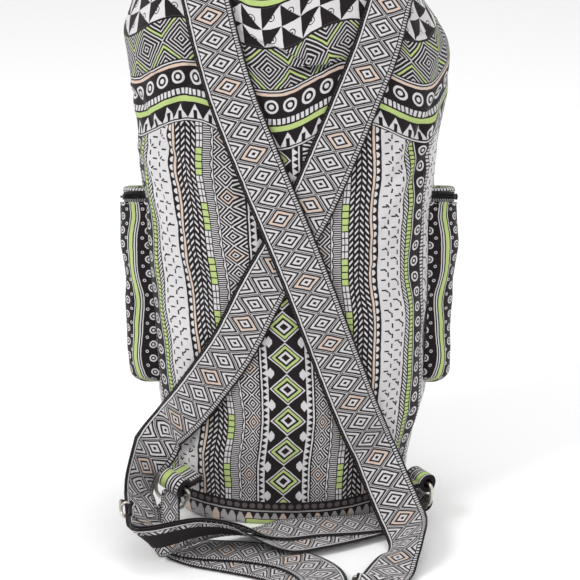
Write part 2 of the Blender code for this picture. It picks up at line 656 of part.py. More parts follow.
for side, sign in (("left", -1), ("right", 1)):
    face = pocket_face(SLIDER_Z, sign) - STEP_IN + 0.65
    home = Matrix.Translation((sign * face * MM, SLIDER_Y * MM, slump(SLIDER_Y, SLIDER_Z) * MM))
    home = home @ Matrix.Rotation(-math.atan(SLUMP), 4, "X")
    if sign < 0:
        home = home @ Matrix.Rotation(math.pi, 4, "Z")
    # slider: x out from the tape, y along the zip
    bm = bmesh.new()
    cube(bm, 0.9, 0, 0, 1.8, 9.0, 6.6)
    ob = make("zip_slider_" + side, mesh_of(bm, "zip_slider_" + side),
              material("zip_slider_" + side, METAL, 0.35, 1.0))
    ob.matrix_world = home
    bev = ob.modifiers.new("edge", "BEVEL")
    bev.width = 0.5 * MM
    bev.segments = 2
    bm = bmesh.new()
    cube(bm, 3.1, 0, 0, 3.4, 7.2, 1.9)
    arch = make("slider_arch_" + side, mesh_of(bm, "slider_arch_" + side), None, CUTTERS)
    arch.matrix_world = home
    bm = bmesh.new()
    cube(bm, 2.8, 0, 0, 1.96, 4.6, 4.0)
    eye = make("slider_eye_" + side, mesh_of(bm, "slider_eye_" + side), None, CUTTERS)
    eye.matrix_world = home
    boolean(ob, arch, "UNION")
    boolean(ob, eye)
    # pull: a flat tab with an eye, its end bar under the arch; origin on that bar
    hinge = home @ Matrix.Translation((2.75 * MM, 0, 0))
    bm = bmesh.new()
    cube(bm, 0, -9.6, 0, 1.0, 20.2, 5.0)
    ob = make("zip_pull_" + side, mesh_of(bm, "zip_pull_" + side),
              material("zip_pull_" + side, METAL, 0.35, 1.0))
    ob.matrix_world = hinge
    bev = ob.modifiers.new("edge", "BEVEL")
    bev.width = 0.3 * MM
    bev.segments = 1
    bm = bmesh.new()
    cube(bm, 0, -3.3, 0, 6.0, 5.4, 3.0)
    eye = make("pull_eye_" + side, mesh_of(bm, "pull_eye_" + side), None, CUTTERS)
    eye.matrix_world = hinge
    boolean(ob, eye)
    bm = bmesh.new()
    bmesh.ops.create_cone(bm, cap_ends=True, segments=16, radius1=1.2 * MM, radius2=1.2 * MM,
                          depth=6 * MM, matrix=Matrix.Translation((0, -16.2 * MM, 0))
                          @ Matrix.Rotation(math.pi / 2, 4, "Y"))
    eye = make("pull_hole_" + side, mesh_of(bm, "pull_hole_" + side), None, CUTTERS)
    eye.matrix_world = hinge
    boolean(ob, eye)
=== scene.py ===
import math

import bpy
import bmesh
import numpy as np
from mathutils import Vector, Matrix


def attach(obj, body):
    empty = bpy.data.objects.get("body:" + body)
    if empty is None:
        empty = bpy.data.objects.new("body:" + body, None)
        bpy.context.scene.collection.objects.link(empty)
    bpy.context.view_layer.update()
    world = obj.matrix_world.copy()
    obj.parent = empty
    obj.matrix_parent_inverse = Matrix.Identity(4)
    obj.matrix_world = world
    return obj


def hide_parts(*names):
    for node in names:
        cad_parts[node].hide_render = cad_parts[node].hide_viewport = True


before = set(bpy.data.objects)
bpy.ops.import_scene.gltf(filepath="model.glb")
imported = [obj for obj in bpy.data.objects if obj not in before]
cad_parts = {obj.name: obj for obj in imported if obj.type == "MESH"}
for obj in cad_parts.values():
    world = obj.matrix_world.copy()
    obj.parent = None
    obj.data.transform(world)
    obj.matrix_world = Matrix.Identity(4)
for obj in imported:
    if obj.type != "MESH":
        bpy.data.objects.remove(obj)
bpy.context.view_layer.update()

MM = 0.001


# ================================================================ camera, floor, light
def look_setup():
    scene = bpy.context.scene
    e = math.radians(18)
    target = Vector((0.0033, 0.0, 0.1805))
    cam = bpy.data.objects.new("camera", bpy.data.cameras.new("camera"))
    scene.collection.objects.link(cam)
    cam.data.sensor_width = 36
    cam.data.lens = 36 * 1.8 / (580 * 0.00082)
    cam.location = target + Vector((0, -math.cos(e), math.sin(e))) * 1.8
    cam.rotation_euler = (math.radians(90 - 18), 0, 0)
    scene.camera = cam
    scene.view_settings.view_transform = "Standard"
    scene.view_settings.look = "None"

    bm = bmesh.new()
    bmesh.ops.create_circle(bm, cap_ends=True, cap_tris=False, segments=96, radius=6.0)
    mesh = bpy.data.meshes.new("floor")
    bm.to_mesh(mesh)
    bm.free()
    floor = bpy.data.objects.new("floor", mesh)
    scene.collection.objects.link(floor)
    floor.location = (0, 0, -0.0004)
    mat = bpy.data.materials.new("floor")
    mat.use_nodes = True
    b = mat.node_tree.nodes["Principled BSDF"]
    b.inputs["Base Color"].default_value = (0.97, 0.97, 0.97, 1)
    b.inputs["Roughness"].default_value = 0.7
    b.inputs["Specular IOR Level"].default_value = 0.1
    mesh.materials.append(mat)

    world = bpy.data.worlds.new("studio")
    world.use_nodes = True
    bg = world.node_tree.nodes["Background"]
    bg.inputs["Color"].default_value = (1.0, 1.0, 1.0, 1)
    bg.inputs["Strength"].default_value = WORLD
    scene.world = world

    for name, loc, size, power in (("key", (-1.5, -1.3, 1.9), 0.9, KEY),
                                   ("fill", (1.8, -1.2, 1.1), 1.5, FILL),
                                   ("top", (0.2, 0.4, 2.4), 1.6, TOP)):
        light = bpy.data.lights.new(name, "AREA")
        light.shape = "DISK"
        light.size = size
        light.energy = power
        ob = bpy.data.objects.new(name, light)
        scene.collection.objects.link(ob)
        ob.location = loc
        ob.rotation_euler = (Vector((0, 0, 0.2)) - Vector(loc)).to_track_quat("-Z", "Y").to_euler()


WORLD, KEY, FILL, TOP = 0.80, 26.0, 6.0, 14.0
look_setup()


# ================================================================ shader arithmetic
class Num:
    """A number in a material's node tree; arithmetic on it adds nodes."""

    def __init__(self, tree, sock):
        self.t, self.s = tree, sock

    def __add__(self, o):
        return op(self.t, "ADD", self, o)

    def __radd__(self, o):
        return op(self.t, "ADD", self, o)

    def __sub__(self, o):
        return op(self.t, "SUBTRACT", self, o)

    def __rsub__(self, o):
        return op(self.t, "SUBTRACT", o, self)

    def __mul__(self, o):
        return op(self.t, "MULTIPLY", self, o)

    def __rmul__(self, o):
        return op(self.t, "MULTIPLY", self, o)

    def __truediv__(self, o):
        return op(self.t, "DIVIDE", self, o)

    def __neg__(self):
        return op(self.t, "MULTIPLY", self, -1.0)

    def __abs__(self):
        return op(self.t, "ABSOLUTE", self)


def op(tree, kind, *args, clamp=False):
    n = tree.nodes.new("ShaderNodeMath")
    n.operation = kind
    n.use_clamp = clamp
    for i, a in enumerate(args):
        if isinstance(a, Num):
            tree.links.new(a.s, n.inputs[i])
        else:
            n.inputs[i].default_value = float(a)
    return Num(tree, n.outputs[0])


SOFT = 0.22


def below(x, w, soft=SOFT):
    """1 where x < w, with a soft edge."""
    if isinstance(w, Num):
        return op(x.t, "MULTIPLY_ADD", w - x, 1 / soft, 0.5, clamp=True)
    return op(x.t, "MULTIPLY_ADD", x, -1 / soft, w / soft + 0.5, clamp=True)


def above(x, w, soft=SOFT):
    return op(x.t, "MULTIPLY_ADD", x, 1 / soft, -w / soft + 0.5, clamp=True)


def between(x, a, b, soft=SOFT):
    c, h = (a + b) / 2, (b - a) / 2
    return below(abs(x - c), h, soft)


def near(x, p, at=0.0):
    """Distance of x to the nearest of the points at + k p."""
    f = op(x.t, "FRACT", op(x.t, "MULTIPLY_ADD", x, 1 / p, 0.5 - at / p))
    return abs(f - 0.5) * p


def frac(x):
    return op(x.t, "FRACT", x)


def both(a, b):
    return op(a.t, "MULTIPLY", a, b)


def either(a, b):
    return op(a.t, "MAXIMUM", a, b)


def inv(a):
    return 1.0 - a


def root(x):
    return op(x.t, "SQRT", x)


def paint(tree, base, top, mask):
    """base colour with top laid over it where mask is 1. Colours are tuples or sockets."""
    n = tree.nodes.new("ShaderNodeMix")
    n.data_type = "RGBA"
    for i, c in ((6, base), (7, top)):
        if isinstance(c, tuple):
            n.inputs[i].default_value = (*c, 1)
        else:
            tree.links.new(c, n.inputs[i])
    if isinstance(mask, Num):
        tree.links.new(mask.s, n.inputs[0])
    else:
        n.inputs[0].default_value = mask
    return n.outputs[2]


def new_material(name):
    mat = bpy.data.materials.new(name)
    mat.use_nodes = True
    return mat, mat.node_tree, mat.node_tree.nodes["Principled BSDF"]


def print_uv(tree, wobble=0.5, layer="print"):
    """Print coordinates in mm, a little hand drawn."""
    uv = tree.nodes.new("ShaderNodeUVMap")
    uv.uv_map = layer
    sep = tree.nodes.new("ShaderNodeSeparateXYZ")
    tree.links.new(uv.outputs[0], sep.inputs[0])
    u, v = Num(tree, sep.outputs[0]) * 1000.0, Num(tree, sep.outputs[1]) * 1000.0
    if wobble:
        scale = tree.nodes.new("ShaderNodeVectorMath")
        scale.operation = "SCALE"
        scale.inputs[3].default_value = 1000.0 / 6.5
        tree.links.new(uv.outputs[0], scale.inputs[0])
        noise = tree.nodes.new("ShaderNodeTexNoise")
        noise.inputs["Scale"].default_value = 1.0
        noise.inputs["Detail"].default_value = 1.0
        tree.links.new(scale.outputs[0], noise.inputs["Vector"])
        sp = tree.nodes.new("ShaderNodeSeparateColor")
        tree.links.new(noise.outputs["Color"], sp.inputs[0])
        u = u + (Num(tree, sp.outputs[0]) - 0.5) * (2 * wobble)
        v = v + (Num(tree, sp.outputs[1]) - 0.5) * (2 * wobble)
    return u, v, uv.outputs[0]


def cloth_finish(tree, shader, uv_sock, colour, pitch=0.75, weave=0.35, grime=0.10, rough=0.86,
                 sheen=0.12):
    """Plain weave bump, painted shade in the weave's low points, uneven thread colour and soft mottling under the
    print.
    """
    sc = tree.nodes.new("ShaderNodeVectorMath")
    sc.operation = "SCALE"
    sc.inputs[3].default_value = 1000.0 / pitch
    tree.links.new(uv_sock, sc.inputs[0])
    sep = tree.nodes.new("ShaderNodeSeparateXYZ")
    tree.links.new(sc.outputs[0], sep.inputs[0])
    a, b = Num(tree, sep.outputs[0]), Num(tree, sep.outputs[1])
    par = op(tree, "FRACT", (op(tree, "FLOOR", a) + op(tree, "FLOOR", b)) * 0.5)      # 0 or .5
    over = op(tree, "GREATER_THAN", par, 0.25)
    ha = op(tree, "SINE", frac(a) * math.pi)
    hb = op(tree, "SINE", frac(b) * math.pi)
    height = over * (ha * (0.55 + 0.45 * hb)) + inv(over) * (hb * (0.55 + 0.45 * ha))
    # uneven threads
    n1 = tree.nodes.new("ShaderNodeTexNoise")
    n1.inputs["Scale"].default_value = 0.45
    n1.inputs["Detail"].default_value = 3.0
    tree.links.new(sc.outputs[0], n1.inputs["Vector"])
    slub = Num(tree, n1.outputs["Fac"])
    n2 = tree.nodes.new("ShaderNodeTexNoise")
    n2.inputs["Scale"].default_value = 26.0
    n2.inputs["Detail"].default_value = 4.0
    geo = tree.nodes.new("ShaderNodeTexCoord")
    tree.links.new(geo.outputs["Object"], n2.inputs["Vector"])
    mott = Num(tree, n2.outputs["Fac"])
    # colour darkened where the weave dips, as painted shade, times the grime mottling and uneven threads
    shade = (0.90 + 0.10 * height) * (1.0 - grime * (op(tree, "MULTIPLY_ADD", mott, 2.2, -0.6, clamp=True))) \
        * (0.95 + 0.10 * slub)
    mul = tree.nodes.new("ShaderNodeVectorMath")
    mul.operation = "SCALE"
    if isinstance(colour, tuple):
        mul.inputs[0].default_value = colour
    else:
        tree.links.new(colour, mul.inputs[0])
    tree.links.new(shade.s, mul.inputs[3])
    tree.links.new(mul.outputs[0], shader.inputs["Base Color"])
    bump = tree.nodes.new("ShaderNodeBump")
    bump.inputs["Strength"].default_value = weave
    bump.inputs["Distance"].default_value = 0.00030
    tree.links.new((height + slub * 0.8).s, bump.inputs["Height"])
    tree.links.new(bump.outputs[0], shader.inputs["Normal"])
    tree.links.new(op(tree, "MULTIPLY_ADD", slub, 0.14, rough - 0.07).s, shader.inputs["Roughness"])
    shader.inputs["Specular IOR Level"].default_value = 0.22
    shader.inputs["Sheen Weight"].default_value = sheen
    shader.inputs["Sheen Roughness"].default_value = 0.5


INK = (0.0105, 0.0062, 0.0078)
PALE = (0.68, 0.66, 0.672)
# GREY on the foot border is pale cloth darkened as painted shade
GREY = (0.40, 0.385, 0.39)
LIME = (0.475, 0.60, 0.215)
PEACH = (0.68, 0.53, 0.44)


# ---------------------------------------------------------------- prints
def dashes(tree, u, v, p=8.6):
    """Pale ground strewn with short strokes that lie level, upright or aslant."""
    cu, cv = near(u, p), near(v, p)
    up = both(below(cu, 0.62), below(cv, 1.9))
    cu, cv = near(u, p, p / 2), near(v, p, p / 2)
    flat = both(below(cv, 0.62), below(cu, 1.9))
    a, b = (u + v) * 0.7071, (u - v) * 0.7071
    sl = both(below(near(a, p * 1.45, 2.0), 0.60), below(near(b, p * 1.45, 4.5), 1.7))
    return paint(tree, PALE, INK, either(either(up, flat), sl))


def ringed(u, v, r0, r1, r2):
    rr = root(u * u + v * v)
    return either(between(rr, r1, r2), below(rr, r0))


def body_print(tree, u, v):
    """Mirrored upright bands of plain geometric figures, with borders at the foot and the yoke."""
    d0 = abs(u)
    # bands spread a little as they rise, and meander like hand drawing
    lift = op(tree, "MULTIPLY_ADD", v, 1 / 330.0, -0.10, clamp=True)
    sway = op(tree, "SINE", v * (1 / 21.0)) * 1.1 + op(tree, "SINE", v * (1 / 9.3) + 1.0) * 0.5
    past = op(tree, "MULTIPLY_ADD", d0, 1 / 10.0, -2.2, clamp=True)
    d = d0 - past * (lift * 15.0 + sway - 6.0)
    col = INK
    # middle column: stacked ringed lozenges
    y = near(v, 27.0, 13.5)
    lz = d0 / 13.6 + y / 12.6
    c = paint(tree, INK, PALE, between(lz, 0.95, 1.06, 0.03))
    c = paint(tree, c, LIME, between(lz, 0.64, 0.84, 0.03))
    c = paint(tree, c, PALE, between(lz, 0.26, 0.46, 0.03))
    c = paint(tree, c, PALE, both(below(abs(d0 - 12.9) + near(v, 27.0) * 0.8, 3.9), above(d0, 10.2)))
    bands = [(None, c)]
    # saw teeth
    tooth = below(near(v, 5.2) * 1.5, 19.8 - d0, 0.35)
    bands.append((15.2, paint(tree, INK, PALE, tooth)))
    bands.append((19.8, PALE))
    bands.append((21.0, INK))
    # nested diamonds
    q = abs(d - 30.2) / 8.3 + near(v, 15.6) / 7.8
    c = paint(tree, PALE, INK, below(near(q, 0.40, 0.04), 0.122, 0.05))
    c = paint(tree, c, PEACH, both(between(q, 0.54, 0.72, 0.04), below(near(v, 46.8), 7.8)))
    bands.append((22.4, c))
    bands.append((38.6, INK))
    # fine level hatching with a scalloped edge
    c = paint(tree, PALE, INK, below(near(v, 1.75), 0.50))
    sc = d + near(v, 9.0) * 0.28
    c = paint(tree, c, INK, between(sc, 41.0, 41.9))
    c = paint(tree, c, PALE, below(sc, 41.0))
    bands.append((39.4, c))
    bands.append((47.2, INK))
    # ladder of lime and pale blocks
    c = paint(tree, LIME, PALE, above(near(v, 44.0), 11.0))
    c = paint(tree, c, INK, below(near(v, 5.5), 0.5))
    c = paint(tree, c, INK, both(below(near(v, 44.0, 22.0), 11.0), between(d, 49.8, 50.5)))
    bands.append((48.0, c))
    bands.append((52.8, INK))
    # dark herringbone of dashes
    a = v + abs(d - 61.5) * 1.2
    c = paint(tree, INK, PALE, both(below(near(a, 5.0), 0.95), above(near(d, 4.2, 61.5), 0.7)))
    bands.append((53.8, c))
    bands.append((69.6, INK))
    # peach line, half rounds
    bands.append((70.4, PEACH))
    bands.append((72.2, INK))
    hr = root((d - 73.2) * (d - 73.2) + near(v, 6.4) * near(v, 6.4))
    bands.append((73.0, paint(tree, INK, PALE, below(hr, 2.3))))
    bands.append((77.0, PALE))
    # pale field with strewn strokes
    bands.append((78.0, dashes(tree, d, v)))
    # rope
    bands.append((97.4, paint(tree, INK, PALE, both(below(near(v + d * 1.3, 3.2), 0.85),
                                                     between(d, 98.4, 101.6)))))
    # lime border with ticks
    bands.append((102.6, paint(tree, LIME, INK, below(near(v, 3.4), 0.45))))
    bands.append((106.2, INK))
    # dark column of ringed dots
    c = paint(tree, INK, PALE, ringed(d - 114.4, near(v, 13.0), 1.3, 2.8, 4.2))
    c = paint(tree, c, PALE, between(d, 107.2, 107.9))
    bands.append((107.0, c))
    bands.append((121.4, paint(tree, PALE, INK, below(near(v, 3.0), 0.6))))
    bands.append((125.0, INK))
    bands.append((126.0, dashes(tree, d, v, 9.4)))
    bands.append((146.0, INK))
    z = v + near(d, 12.0, 150.0) * 1.3
    bands.append((147.0, paint(tree, PALE, INK, below(near(z, 5.0), 1.25))))
    for start, c in bands:
        col = c if start is None else paint(tree, col, c, above(d if start > 21.5 else d0, start))

    # yoke: borders that hang in shallow swags above the bands
    h = v - 328.0 + op(tree, "COSINE", u * (2 * math.pi / 128.0)) * 11.0
    t = near(u, 12.0) / 6.0
    tri = below(t, op(tree, "MULTIPLY_ADD", h, -1 / 11.0, 14.0 / 11.0), 0.06)
    c = paint(tree, INK, PALE, both(both(tri, above(h, 3.0)), inv(both(below(near(u, 12.0), 1.5), below(h, 9.0)))))
    c = paint(tree, c, PALE, below(abs(h - 1.4), 0.5))
    c = paint(tree, c, LIME, between(h, 15.6, 19.8))
    k = paint(tree, PALE, INK, below(near(u, 3.6), 0.62))
    c = paint(tree, c, k, between(h, 21.2, 25.8))
    c = paint(tree, c, INK, above(h, 25.8))
    c = paint(tree, c, PALE, both(ringed(near(u, 14.4), h - 35.0, 1.9, 3.6, 5.4), above(h, 27.0)))
    c = paint(tree, c, PEACH, between(h, 43.2, 45.4))
    c = paint(tree, c, PALE, between(h, 46.6, 47.6))
    c = paint(tree, c, INK, between(h, 47.6, 48.8))
    q = near(u, 32.0) / 16.0 + abs(h - 64.0) / 15.0
    k = paint(tree, PALE, INK, below(near(q, 0.225, 0.02), 0.078, 0.04))
    k = paint(tree, k, LIME, both(above(q, 1.12), below(near(q, 0.9, 1.24), 0.06, 0.04)))
    c = paint(tree, c, k, above(h, 48.8))
    c = paint(tree, c, INK, above(h, 79.4))
    # triangles, black and white by turns
    fu, fh = frac(u * (1 / 15.0)), frac((h - 81.0) * (1 / 15.0))
    par = op(tree, "GREATER_THAN", frac((op(tree, "FLOOR", u * (1 / 15.0))) * 0.5), 0.25)
    dg = op(tree, "SUBTRACT", fu + fh, 1.0)
    dg2 = fu - fh
    w1 = op(tree, "MULTIPLY_ADD", dg, 30.0, 0.5, clamp=True)
    w2 = op(tree, "MULTIPLY_ADD", dg2, 30.0, 0.5, clamp=True)
    tri2 = par * w1 + inv(par) * w2
    k = paint(tree, INK, PALE, tri2)
    k = paint(tree, k, INK, both(tri2, ringed((fu - 0.5) * 15.0, (fh - 0.5) * 15.0, 0.9, 2.2, 2.9)))
    c = paint(tree, c, k, both(above(h, 81.0), below(h, 111.0)))
    c = paint(tree, c, LIME, between(h, 112.6, 116.6))
    c = paint(tree, c, dashes(tree, u, v, 8.8), above(h, 118.0))
    w3 = v + near(u, 9.0) * 1.4
    c = paint(tree, c, paint(tree, PALE, INK, below(near(w3, 5.6), 1.35)), above(h, 140.0))
    col = paint(tree, col, c, above(h, 0.0))

    # foot: dark band with dots that dips at the middle, then a line, small triangles and a lime strip
    f = v + op(tree, "MULTIPLY_ADD", u * u, -5.5 / (88.0 * 88.0), 5.5)
    f = op(tree, "MAXIMUM", f, v)
    rr = root(near(u, 6.3) * near(u, 6.3) + (f - 22.5) * (f - 22.5))
    c = paint(tree, INK, (0.115, 0.095, 0.095), below(rr, 2.3))
    tr = below(near(u, 7.0) / 3.5, op(tree, "MULTIPLY_ADD", f, -1 / 8.0, 18.2 / 8.0), 0.1)
    # the triangles' pale cells are painted grey: painted shade where the foot curves under
    k = paint(tree, INK, GREY, tr)
    k = paint(tree, k, PEACH, both(tr, below(near(u, 28.0), 3.0)))
    k = paint(tree, k, INK, both(below(near(u, 14.0, 3.5), 0.55), between(f, 3.0, 13.0)))
    k = paint(tree, k, INK, both(below(near(u, 14.0, 5.0), 2.0), between(f, 6.4, 7.4)))
    k = paint(tree, k, INK, between(f, 1.6, 2.4))
    # pale line painted grey as painted shade at the foot
    k = paint(tree, k, GREY, between(f, 17.2, 18.6))
    k = paint(tree, k, INK, between(f, 15.9, 17.2))
    strip = below(d0, 31.0)
    k = paint(tree, k, INK, both(strip, below(f, 10.4)))
    k = paint(tree, k, LIME, both(below(d0, 30.0), below(f, 9.6)))
    c = paint(tree, c, k, below(f, 18.6))
    return paint(tree, col, c, below(f, 26.6))


def strap_print(tree, u, v):
    """Nested lozenges with a plain edge on one side and a ticked one on the other."""
    q = abs(u) / 14.2 + near(v, 18.4) / 9.2
    c = paint(tree, PALE, INK, below(near(q, 0.395, 0.05), 0.092, 0.05))
    c = paint(tree, c, PEACH, both(between(q, 0.55, 0.75, 0.05), below(near(v, 55.2), 9.2)))
    c = paint(tree, c, INK, below(near(q, 10.0, 1.02), 0.042, 0.04))
    side = paint(tree, PALE, INK, below(near(v, 2.1), 0.50))
    side = paint(tree, side, INK, either(below(abs(u - 14.6), 0.45), above(u, 18.0)))
    c = paint(tree, c, side, above(u, 14.2))
    edge = paint(tree, INK, PALE, between(u, -16.4, -15.2))
    return paint(tree, c, edge, below(u, -14.5))


def pocket_print(tree, u, v):
    """Dark ground with ringed dots between waved stripes."""
    wave = op(tree, "SINE", v * (1 / 12.5)) * 2.2 + op(tree, "SINE", v * (1 / 5.7) + 0.7) * 0.5
    w = frac((u + wave - 8.0) * (1 / 23.5)) * 23.5
    c = paint(tree, INK, LIME, between(w, 12.4, 15.4))
    c = paint(tree, c, PALE, between(w, 16.3, 16.9))
    c = paint(tree, c, PALE, between(w, 10.4, 11.4))
    c = paint(tree, c, PALE, between(w, 8.6, 9.4))
    x = near(u + wave * 0.5 - 8.0, 23.5)
    c = paint(tree, c, PALE, both(ringed(x, near(v, 12.0), 1.0, 2.1, 3.2), below(x, 4.2)))
    c = paint(tree, c, PALE, both(ringed(x - 5.0, near(v, 12.0, 6.0), 0.1, 0.7, 1.3), below(x, 6.6)))
    return c


def under_print(tree, u, v):
    """Underside of a strap: dark web with the print's edges turned over it."""
    c = strap_print(tree, u * 1.0, v)
    return paint(tree, c, (0.0125, 0.0088, 0.0105), below(abs(u + 2.0), 8.6))


def make_print(name, fn, **kw):
    mat, tree, shader = new_material(name)
    u, v, sock = print_uv(tree, kw.pop("wobble", 0.45))
    cloth_finish(tree, shader, sock, fn(tree, u, v), **kw)
    return mat


def plain_cloth(name, colour, **kw):
    mat, tree, shader = new_material(name)
    uv = tree.nodes.new("ShaderNodeUVMap")
    uv.uv_map = "print"
    cloth_finish(tree, shader, uv.outputs[0], colour, **kw)
    return mat


def metal(name, colour, rough=0.30, pitted=0.25, scale=900.0, dark=None):
    """Cast metal with a worn, faintly pitted face and darker patches at random."""
    mat, tree, shader = new_material(name)
    tc = tree.nodes.new("ShaderNodeTexCoord")
    n = tree.nodes.new("ShaderNodeTexNoise")
    n.inputs["Scale"].default_value = scale
    n.inputs["Detail"].default_value = 5.0
    tree.links.new(tc.outputs["Object"], n.inputs["Vector"])
    f = Num(tree, n.outputs["Fac"])
    m = tree.nodes.new("ShaderNodeTexNoise")
    m.inputs["Scale"].default_value = scale * 0.15
    m.inputs["Detail"].default_value = 3.0
    tree.links.new(tc.outputs["Object"], m.inputs["Vector"])
    g = Num(tree, m.outputs["Fac"])
    worn = op(tree, "MULTIPLY_ADD", g, 2.6, -0.9, clamp=True)
    c = paint(tree, colour, dark or tuple(x * 0.45 for x in colour), worn * 0.65)
    tree.links.new(c, shader.inputs["Base Color"])
    shader.inputs["Metallic"].default_value = 1.0
    tree.links.new(op(tree, "MULTIPLY_ADD", f, 0.22, rough - 0.08).s, shader.inputs["Roughness"])
    b = tree.nodes.new("ShaderNodeBump")
    b.inputs["Strength"].default_value = pitted
    b.inputs["Distance"].default_value = 0.00012
    tree.links.new(f.s, b.inputs["Height"])
    tree.links.new(b.outputs[0], shader.inputs["Normal"])
    return mat


def thread_material(name, colour):
    mat, tree, shader = new_material(name)
    tc = tree.nodes.new("ShaderNodeTexCoord")
    n = tree.nodes.new("ShaderNodeTexNoise")
    n.inputs["Scale"].default_value = 2600.0
    n.inputs["Detail"].default_value = 2.0
    tree.links.new(tc.outputs["Object"], n.inputs["Vector"])
    f = Num(tree, n.outputs["Fac"])
    c = paint(tree, colour, tuple(x * 0.55 for x in colour), f)
    tree.links.new(c, shader.inputs["Base Color"])
    shader.inputs["Roughness"].default_value = 0.7
    shader.inputs["Sheen Weight"].default_value = 0.2
    b = tree.nodes.new("ShaderNodeBump")
    b.inputs["Strength"].default_value = 0.5
    b.inputs["Distance"].default_value = 0.0001
    tree.links.new(f.s, b.inputs["Height"])
    tree.links.new(b.outputs[0], shader.inputs["Normal"])
    return mat


M_BODY = make_print("body_canvas_print", body_print)
M_STRAP = make_print("strap_canvas_print", strap_print)
M_POCKET = make_print("pocket_canvas_print", pocket_print)
M_UNDER = make_print("strap_underside_print", under_print, pitch=0.8, weave=0.5, grime=0.3, sheen=0.03)
M_DARK = plain_cloth("dark_canvas", (0.0125, 0.0088, 0.0105), pitch=0.8, weave=0.5, grime=0.3, sheen=0.03)
M_LINING = plain_cloth("dark_lining", (0.012, 0.010, 0.012), pitch=0.45, weave=0.25, rough=0.7)
M_TAPE = plain_cloth("zip_tape_cloth", (0.009, 0.008, 0.009), pitch=1.1, weave=0.8, rough=0.75)
M_METAL = metal("antique_silver", (0.70, 0.66, 0.58))
M_ZIP = metal("dark_zip_metal", (0.10, 0.095, 0.09), rough=0.34, dark=(0.02, 0.02, 0.02))
M_TEETH = metal("zip_teeth_dark", (0.035, 0.033, 0.033), rough=0.4, dark=(0.01, 0.01, 0.01))
M_THREAD = thread_material("pale_thread", (0.62, 0.60, 0.60))
M_THREAD_DARK = thread_material("dark_thread", (0.022, 0.018, 0.02))


# ================================================================ mesh helpers
def V(*a):
    return Vector(a)


def grid_mesh(name, pts, closed_u, mats, uv=None, mat_rows=None, smooth=True):
    """pts: array rows x cols x 3 in mm. uv: array rows x cols x 4 in mm, the print coordinates at each corner and at
    the next one along the row.
    """
    rows, cols = pts.shape[:2]
    me = bpy.data.meshes.new(name)
    verts = (pts.reshape(-1, 3) * MM).tolist()
    nc = cols if closed_u else cols - 1
    faces = []
    for j in range(rows - 1):
        for k in range(nc):
            k2 = (k + 1) % cols
            faces.append((j * cols + k, j * cols + k2, (j + 1) * cols + k2, (j + 1) * cols + k))
    me.from_pydata(verts, [], faces)
    if uv is not None:
        layer = me.uv_layers.new(name="print")
        arr = np.empty((len(faces) * 4, 2), np.float32)
        i = 0
        jj, kk = np.meshgrid(np.arange(rows - 1), np.arange(nc), indexing="ij")
        jj, kk = jj.ravel(), kk.ravel()
        arr[0::4] = uv[jj, kk, 0:2]
        arr[1::4] = uv[jj, kk, 2:4]
        arr[2::4] = uv[jj + 1, kk, 2:4]
        arr[3::4] = uv[jj + 1, kk, 0:2]
        layer.uv.foreach_set("vector", (arr * MM).ravel())
    for m in mats:
        me.materials.append(m)
    if mat_rows is not None:
        me.polygons.foreach_set("material_index", mat_rows)
    if smooth:
        me.shade_smooth()
    me.update()
    return me


def add(name, me):
    ob = bpy.data.objects.new(name, me)
    bpy.context.scene.collection.objects.link(ob)
    return ob


def piece(name, me, body, slot, *nodes):
    ob = me if isinstance(me, bpy.types.Object) else add(name, me)
    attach(ob, body)
    if nodes:
        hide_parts(*nodes)
    return ob


def simple_uv(me, scale=1.0):
    """Box-projected print coordinates, for small plain pieces."""
    layer = me.uv_layers.new(name="print")
    co = np.array([v.co for v in me.vertices], float).reshape(-1, 3)
    arr = np.empty((len(me.loops), 2), np.float32)
    for p in me.polygons:
        n = p.normal
        ax = max(range(3), key=lambda i: abs(n[i]))
        i, j = [(1, 2), (0, 2), (0, 1)][ax]
        for li in p.loop_indices:
            c = co[me.loops[li].vertex_index]
            arr[li] = (c[i] * scale, c[j] * scale)
    layer.uv.foreach_set("vector", arr.ravel())


# ================================================================ the body's form (as the CAD has it)
BODY = [(0, 82, 58), (4, 90, 64), (12, 96, 66.5), (25, 99.5, 68), (40, 102, 69.5),
        (70, 105.5, 72), (100, 110, 74), (150, 113.5, 76), (200, 115.5, 77.5),
        (240, 116.5, 78), (285, 117.5, 78), (320, 121, 77), (350, 125, 76),
        (375, 127, 74.5), (400, 125, 72), (412, 122.5, 70.8), (424, 119, 69.5),
        (436, 116, 68), (450, 112.5, 65), (462, 108, 60.5), (472, 100, 56), (480, 92, 51.5),
        (486, 86, 48), (491, 82, 46), (497, 80, 45), (503, 79.5, 44.5)]
LEAN = [(0, 0), (52, 0.5), (80, 3.5), (100, 4.8), (172, 4), (240, 2), (300, 2), (344, 3),
        (378, 1.5), (404, -2.5), (426, -4.5), (445, -5.5), (503, -8)]


def monotone(table, col, x):
    xs = [row[0] for row in table]
    ys = [row[col] for row in table]
    x = min(max(x, xs[0]), xs[-1])
    h = [xs[i + 1] - xs[i] for i in range(len(xs) - 1)]
    d = [(ys[i + 1] - ys[i]) / h[i] for i in range(len(h))]
    m = [d[0]] + [0.0] * (len(xs) - 2) + [d[-1]]
    for i in range(1, len(xs) - 1):
        if d[i - 1] * d[i] > 0:
            w1, w2 = 2 * h[i] + h[i - 1], h[i] + 2 * h[i - 1]
            m[i] = (w1 + w2) / (w1 / d[i - 1] + w2 / d[i])
    i = 0
    while i < len(h) - 1 and x > xs[i + 1]:
        i += 1
    t = (x - xs[i]) / h[i]
    return (ys[i] * (2 * t ** 3 - 3 * t * t + 1) + h[i] * m[i] * (t ** 3 - 2 * t * t + t)
            + ys[i + 1] * (3 * t * t - 2 * t ** 3) + h[i] * m[i + 1] * (t ** 3 - t * t))


def half_w(z):
    return monotone(BODY, 1, z)


def half_d(z):
    return monotone(BODY, 2, z)


def lean(z):
    return monotone(LEAN, 1, z)


def squareness(z):
    return 2.55 - 0.25 * min(max((z - 380.0) / 110.0, 0.0), 1.0)


